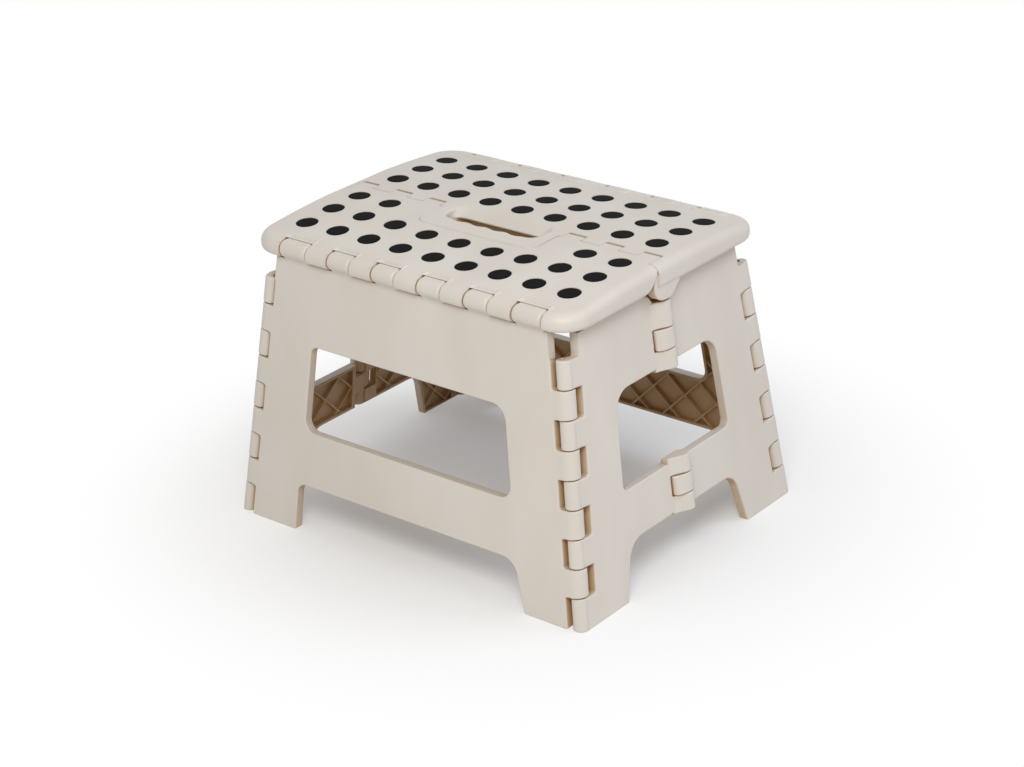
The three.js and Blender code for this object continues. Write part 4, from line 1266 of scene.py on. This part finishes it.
# The openings are those of a whole end panel, and the left half of each is a front half's own
endPanel = {"window": {"top": 139.5, "bottom": 73.5, "topHalves": [57.0, 57.0], "bottomHalves": [62.0, 62.0],
                       "rounds": [5.0, 12.0, 12.0, 13.0]},
            "arch": {"top": 38.5, "bottom": 0.0, "topHalves": [61.0, 61.0], "bottomHalves": [71.0, 71.0],
                     "rounds": [0.0, 0.0, 12.0, 12.0]},
            "edge": 1.2, "rearShort": 4.0,
            "top": 191.0, "notchTop": 182.0, "notchHalf": 8.0, "notchSlopeHalf": 14.0, "notchRound": 4,
            "neck": 8.0, "neckRound": 1.5, "seamHalf": 0.8, "seamRound": 0.6,
            "flange": [(14.2, 191.0), (18.8, 194.2), (18.8, 200.5), (36.0, 200.5)], "flangeWall": 2.5}

# Heights run from the top of the first knuckle to the foot of the last. Pockets, plays and shifts
# are those of the front and rear half, or of the upper and lower pin.
fold = {"radius": 6.0, "proud": 0.4, "pockets": [12.5, 10.0], "pocketRound": 1.2, "tongue": 11.2,
        "blend": 13.5, "blendFrom": math.radians(38), "blendSteps": 8, "axialGap": 0.5,
        "heights": [[184.0, 165.5, 151.0, 137.0], [77.0, 64.0, 50.0, 37.0]],
        "pinReach": 10.0, "pinPlay": 0.3, "plays": [1.4, 2.6], "shifts": [[0.6, 0.6], [-0.6, -1.6]],
        "ease": 0.9}


def endHalf(role):
    # Role -1 is the half on the lower side of y in the right panel's frame, and 1 is its partner
    overrun, depth, wide = stool["overrun"], stool["panelDepth"], stool["wide"]
    top, foot = alongEnd(endPanel["top"]), alongEnd(0) - overrun
    base = corner["radius"] * math.tan(stool["endTilt"])  # the level at which cornerY holds
    notch = alongEnd(endPanel["notchTop"])
    sizes = endPanel if role < 0 else shortened(endPanel, endPanel["rearShort"])
    pocket = fold["pockets"][0 if role < 0 else 1]

    def edgeAt(level, inset):
        return -cornerY + (level - base) * endSlope + inset

    def hollowShape(grow, far):
        inset = corner["endInset"] + stool["sideWall"] - grow
        inner = grow - fold["blend"]
        high, low = notch - stool["sideWall"] + grow, alongEnd(0) + stool["sideWall"] - grow
        field = [(edgeAt(high, inset), high), (inner, high), (inner, low), (edgeAt(low, inset), low)]
        shape = prism("x", field, plain(-far, -stool["faceWall"] + grow))
        walls = panelOpenings(sizes, alongEnd, stool["sideWall"] - grow)
        return cut(shape, *[prism("x", wall, plain(-depth - 2 * overrun, overrun)) for wall in walls])

    seamEdge, ease = -endPanel["seamHalf"], endPanel["notchRound"]
    outline = rounded([(edgeAt(top, 0), top, 0), (-endPanel["notchSlopeHalf"], top, ease),
                       (-endPanel["notchHalf"], notch, ease), (seamEdge, notch, endPanel["seamRound"]),
                       (seamEdge, foot, 0), (edgeAt(foot, 0), foot, 0)], steps=5)
    panel = prism("x", outline, plain(-depth, 0))
    cut(panel, hollowShape(0, depth + overrun))
    low, high = stool["faceWall"] - lattice["seat"], stool["faceWall"] + lattice["depth"]
    bars = latticeBars(halfDepth, foot, 0, -high, -low)
    moved(bars, behindEnd)
    join(panel, common(bars, hollowShape(lattice["seat"], depth)))
    cut(panel, *[prism("x", shape, flared(0, -1, -depth - overrun, endPanel["edge"]))
                 for shape in panelOpenings(sizes, alongEnd)])
    pockets = []
    inset = corner["endInset"]
    for place in range(1, corner["count"], 2):
        low, high = cornerRange(place, -corner["axialGap"] / 2)
        ease = corner["pocketRound"]
        shape = rounded([(-wide, low, 0), (inset, low, ease), (inset, high, ease), (-wide, high, 0)])
        room = prism("x", shape, flared(corner["radius"], -1, -wide, corner["edge"]))
        pockets.append(moved(room, onEnd))
    neck, reach = cornerRange(0, 0)[1], endPanel["neck"]
    shape = rounded([(-wide, neck, 0), (reach, neck, endPanel["neckRound"]),
                     (reach, wide, 0), (-wide, wide, 0)])
    pockets.append(moved(prism("x", shape, plain(-wide, wide)), onEnd))
    cut(panel, *pockets)
    foldKnuckles(panel, role, pocket)
    join(panel, *cornerBarrels(0, corner["endRadius"], corner["endCentre"], onEnd))
    floor = moved(box((-wide, -wide, -wide), (wide, wide, 0)),
                  Matrix.Rotation(stool["endTilt"], 4, "Y") @ shift(0, 0, -hingeHeight))
    cut(panel, cornerBore(onEnd), floor)
    return panel if role < 0 else moved(panel, mirrorY)


def foldSection(role):
    # Round about the pin on the free side; on its own side it blends into the panel. The middle
    # knuckle also has a tongue that stops the panel when it is flat.
    radius, proud, blend = fold["radius"], fold["proud"], fold["blend"]
    free = fold["tongue"] if role > 0 else radius
    points = [(proud - radius * math.cos(turn), free * math.sin(turn))
              for turn in (math.pi * step / 24 for step in range(25))]
    finish = fold["blendFrom"]
    points += [(proud + radius * math.cos(turn), -radius * math.sin(turn))
               for turn in (finish * step / 6 for step in range(1, 7))]
    start = Vector(points[-1])
    bend = (0, start.y - start.x / math.tan(finish))
    points += fillet(start, bend, (0, -blend), fold["blendSteps"])
    return points + [(proud - radius, -blend)]


def foldKnuckles(panel, role, pocket):
    # Adds this half's knuckles and takes out the room for the other half's, and the bores
    gap, ease = fold["axialGap"] / 2, fold["pocketRound"]
    room, barrels, bores = [], [], []
    for place, heights in enumerate(fold["heights"]):
        levels = [alongEnd(height) for height in heights]
        for index in range(len(levels) - 1):
            high, low = levels[index], levels[index + 1]
            if (index == 1) == (role > 0):
                barrels.append(prism("z", foldSection(role), eased(low + gap, high - gap, fold["ease"])))
            else:
                shape = rounded([(-pocket, low - gap, ease), (stool["overrun"], low - gap, 0),
                                 (stool["overrun"], high + gap, 0), (-pocket, high + gap, ease)], steps=4)
                room.append(prism("x", shape, flared(0, -1, -2 * stool["panelDepth"], fold["ease"])))
        # The half that holds the pin fits it, and the other half's bore leaves it room to wander
        play = fold["pinPlay"] if role > 0 else fold["plays"][place]
        outward, sideways = (0, 0) if role > 0 else fold["shifts"][place]
        low, high = levels[2] - fold["pinReach"] - 2 * gap, levels[1] + fold["pinReach"] + 2 * gap
        centre = (fold["proud"] + outward, sideways)
        bores.append(rod("z", rods["pinRadius"] + play, low, high, centre, sides=rods["boreSides"]))
    cut(panel, *room)
    join(panel, *barrels)
    return cut(panel, *bores)


def topFlange(role):
    # A thin wall behind the gap beside the ear
    outline = [(role * reach, alongEnd(height)) for reach, height in endPanel["flange"]]
    low = alongEnd(endPanel["top"]) - stool["overrun"]
    outline += [(outline[-1][0], low), (outline[0][0], low)]
    return prism("x", outline, plain(-stool["panelDepth"], endPanel["flangeWall"] - stool["panelDepth"]))


for hand, turn, names in (("right", unturned, ("front", "rear")), ("left", halfTurn, ("rear", "front"))):
    for role, name in zip((-1, 1), names):
        half = endHalf(role)
        if name == "front":
            join(half, topFlange(role))
        moved(half, turn @ rightFrame)
        label, piece = f"{hand}_{name}_end", f"{hand}{name.capitalize()}EndMoulding"
        finishPiece(half, piece, label, [label + "_half"], plastic)


# Rods and pins

def roundRod(label, body, axis, radius, low, high, centre, matrix):
    made = moved(rod(axis, radius, low, high, centre, rods["chamfer"], rods["sides"]), matrix)
    finishPiece(made, label + "_steel", body, [label], steel)


for hand, sign in (("right", 1), ("left", -1)):
    low = tongue["half"] + stool["skinWall"] + rods["endGap"]
    high = halfLength - seam["earInset"] - rods["cover"] - rods["endGap"]
    ends = sorted((sign * low, sign * high))
    roundRod(f"{hand}_centre_rod", "front_plate", "x", rods["radius"], *ends, (0, centreHeight), unturned)
for side, name, turn in ((-1, "front", unturned), (1, "rear", halfTurn)):
    spans = knuckleSpans(side)
    low, high = spans[0][0] - rods["overhang"], spans[-1][1] + rods["overhang"]
    roundRod(f"{name}_hinge_rod", f"{name}_leg", "x", rods["radius"], low, high, (0, 0), turn @ frontFrame)
    for hand, flip in (("right", unturned), ("left", mirrorX)):
        seen = hand if side < 0 else {"right": "left", "left": "right"}[hand]
        low, high = alongCorner(rods["cover"]), alongCorner(corner["topHeight"] - rods["cover"])
        roundRod(f"{name}_{seen}_corner_rod", f"{name}_leg", "z", rods["radius"], low, high, (0, 0),
                 turn @ frontFrame @ flip @ onLong)
for hand, turn, body in (("right", unturned, "right_rear_end"), ("left", halfTurn, "left_front_end")):
    for level, heights in zip(("upper", "lower"), fold["heights"]):
        low, high = alongEnd(heights[2]) - fold["pinReach"], alongEnd(heights[1]) + fold["pinReach"]
        roundRod(f"{hand}_{level}_fold_pin", body, "z", rods["pinRadius"], low, high, (fold["proud"], 0),
                 turn @ rightFrame)


# Floor, light and camera

# Metres and watts. Near the stool the floor shows its shading, lifted by painted light from a glow that only
# the camera sees (at least glowLeast of it), and from glowNear to glowFar the glow fades it to white.
studio = {"floorHalf": 6.0, "floorDrop": 0.0002, "floor": "f4f3f1", "worldLevel": 0.5,
          "glowCentre": (0.0, 0.02, 0), "glowNear": 0.1, "glowFar": 0.34, "glowLeast": 0.2,
          "aim": (0, 0, 0.1),
          "lamps": {"key": {"place": (0.57, -0.76, 0.98), "size": 0.5, "power": 7.0, "colour": "fffdfa"},
                    "fill": {"place": (1.1, 0.9, 1.6), "size": 1.0, "power": 9.0, "colour": "d8e6ff"}}}


def directRay(tree):
    # 1 for what the camera sees, straight or by a reflection or through something clear
    path = addNode(tree, "ShaderNodeLightPath")
    seen = addNode(tree, "ShaderNodeMath",
                   links={0: path.outputs["Is Camera Ray"], 1: path.outputs["Is Glossy Ray"]},
                   operation="MAXIMUM")
    return addNode(tree, "ShaderNodeMath",
                   links={0: seen.outputs[0], 1: path.outputs["Is Transmission Ray"]},
                   operation="MAXIMUM")


def paleFloor():
    half = studio["floorHalf"] / mm
    floor = newObject("floor", [(-half, -half, 0), (half, -half, 0), (half, half, 0), (-half, half, 0)],
                      [(0, 1, 2, 3)])
    floor.location.z = -studio["floorDrop"]
    # Studio floor in pale matt paint; a glow that only the camera sees paints light into its shadow near the
    # stool and fades it to the white of the background away from the stool
    material, tree = newMaterial("floorPaintAndGlow")
    shader = addNode(tree, "ShaderNodeBsdfDiffuse", {"Color": linearColour(studio["floor"])})
    glow = addNode(tree, "ShaderNodeEmission", {"Color": (1, 1, 1, 1), "Strength": 1.0})
    where = addNode(tree, "ShaderNodeTexCoord")
    away = addNode(tree, "ShaderNodeVectorMath", {1: studio["glowCentre"]}, {0: where.outputs["Object"]},
                   operation="SUBTRACT")
    reach = addNode(tree, "ShaderNodeVectorMath", links={0: away.outputs[0]}, operation="LENGTH")
    fade = addNode(tree, "ShaderNodeMapRange", {"From Min": studio["glowNear"], "From Max": studio["glowFar"],
                                                "To Min": studio["glowLeast"]},
                   {"Value": reach.outputs["Value"]}, interpolation_type="SMOOTHSTEP")
    # Painted light: the camera-only glow lifts the floor's shadow, by at least glowLeast even beside the
    # stool
    share = addNode(tree, "ShaderNodeMath", links={0: fade.outputs["Result"], 1: directRay(tree).outputs[0]},
                    operation="MULTIPLY")
    mix = addNode(tree, "ShaderNodeMixShader",
                  links={0: share.outputs[0], 1: shader.outputs[0], 2: glow.outputs[0]})
    addNode(tree, "ShaderNodeOutputMaterial", links={"Surface": mix.outputs[0]})
    floor.data.materials.append(material)
    floor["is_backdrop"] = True


def studioWorld():
    world = bpy.data.worlds.new("studio")
    bpy.context.scene.world = world
    world.use_nodes = True
    tree = world.node_tree
    tree.nodes.clear()
    plainWhite = (1.0, 1.0, 1.0, 1.0)
    soft = addNode(tree, "ShaderNodeBackground", {"Color": plainWhite, "Strength": studio["worldLevel"]})
    white = addNode(tree, "ShaderNodeBackground", {"Color": plainWhite, "Strength": 1.0})
    mix = addNode(tree, "ShaderNodeMixShader",
                  links={0: directRay(tree).outputs[0], 1: soft.outputs[0], 2: white.outputs[0]})
    addNode(tree, "ShaderNodeOutputWorld", links={"Surface": mix.outputs[0]})


def areaLight(name, lamp):
    light = bpy.data.lights.new(name, "AREA")
    light.shape = "DISK"
    light.size = lamp["size"]
    light.energy = lamp["power"]
    light.color = linearColour(lamp["colour"])[:3]
    made = bpy.data.objects.new(name, light)
    bpy.context.scene.collection.objects.link(made)
    made.location = lamp["place"]
    towards = Vector(studio["aim"]) - Vector(lamp["place"])
    made.rotation_euler = towards.to_track_quat("-Z", "Y").to_euler()


# The camera, worked out from the even grid of the dots
view = {"focal": 86.11, "sensor": 36.0, "place": (0.98515, -1.18313, 0.80039),
        "azimuth": math.radians(39.735), "elevation": math.radians(24.791), "roll": math.radians(-2.395),
        "shift": (-0.0005, 0.0007), "nearest": 0.05}


def photoCamera():
    data = bpy.data.cameras.new("camera")
    data.lens = view["focal"]
    data.sensor_width = view["sensor"]
    data.shift_x, data.shift_y = view["shift"]
    data.clip_start = view["nearest"]
    camera = bpy.data.objects.new("camera", data)
    bpy.context.scene.collection.objects.link(camera)
    turn, rise, roll = view["azimuth"], view["elevation"], view["roll"]
    back = Vector((math.sin(turn) * math.cos(rise), -math.cos(turn) * math.cos(rise), math.sin(rise)))
    right = Vector((math.cos(turn), math.sin(turn), 0))
    up = back.cross(right)
    rolledRight = math.cos(roll) * right + math.sin(roll) * up
    rolledUp = -math.sin(roll) * right + math.cos(roll) * up
    basis = Matrix((rolledRight, rolledUp, back)).transposed().to_4x4()
    camera.matrix_world = Matrix.Translation(view["place"]) @ basis
    bpy.context.scene.camera = camera


paleFloor()
studioWorld()
for lampName, lamp in studio["lamps"].items():
    areaLight(lampName, lamp)
photoCamera()
bpy.context.scene.view_settings.view_transform = "Standard"
print("studio made")

low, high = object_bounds()
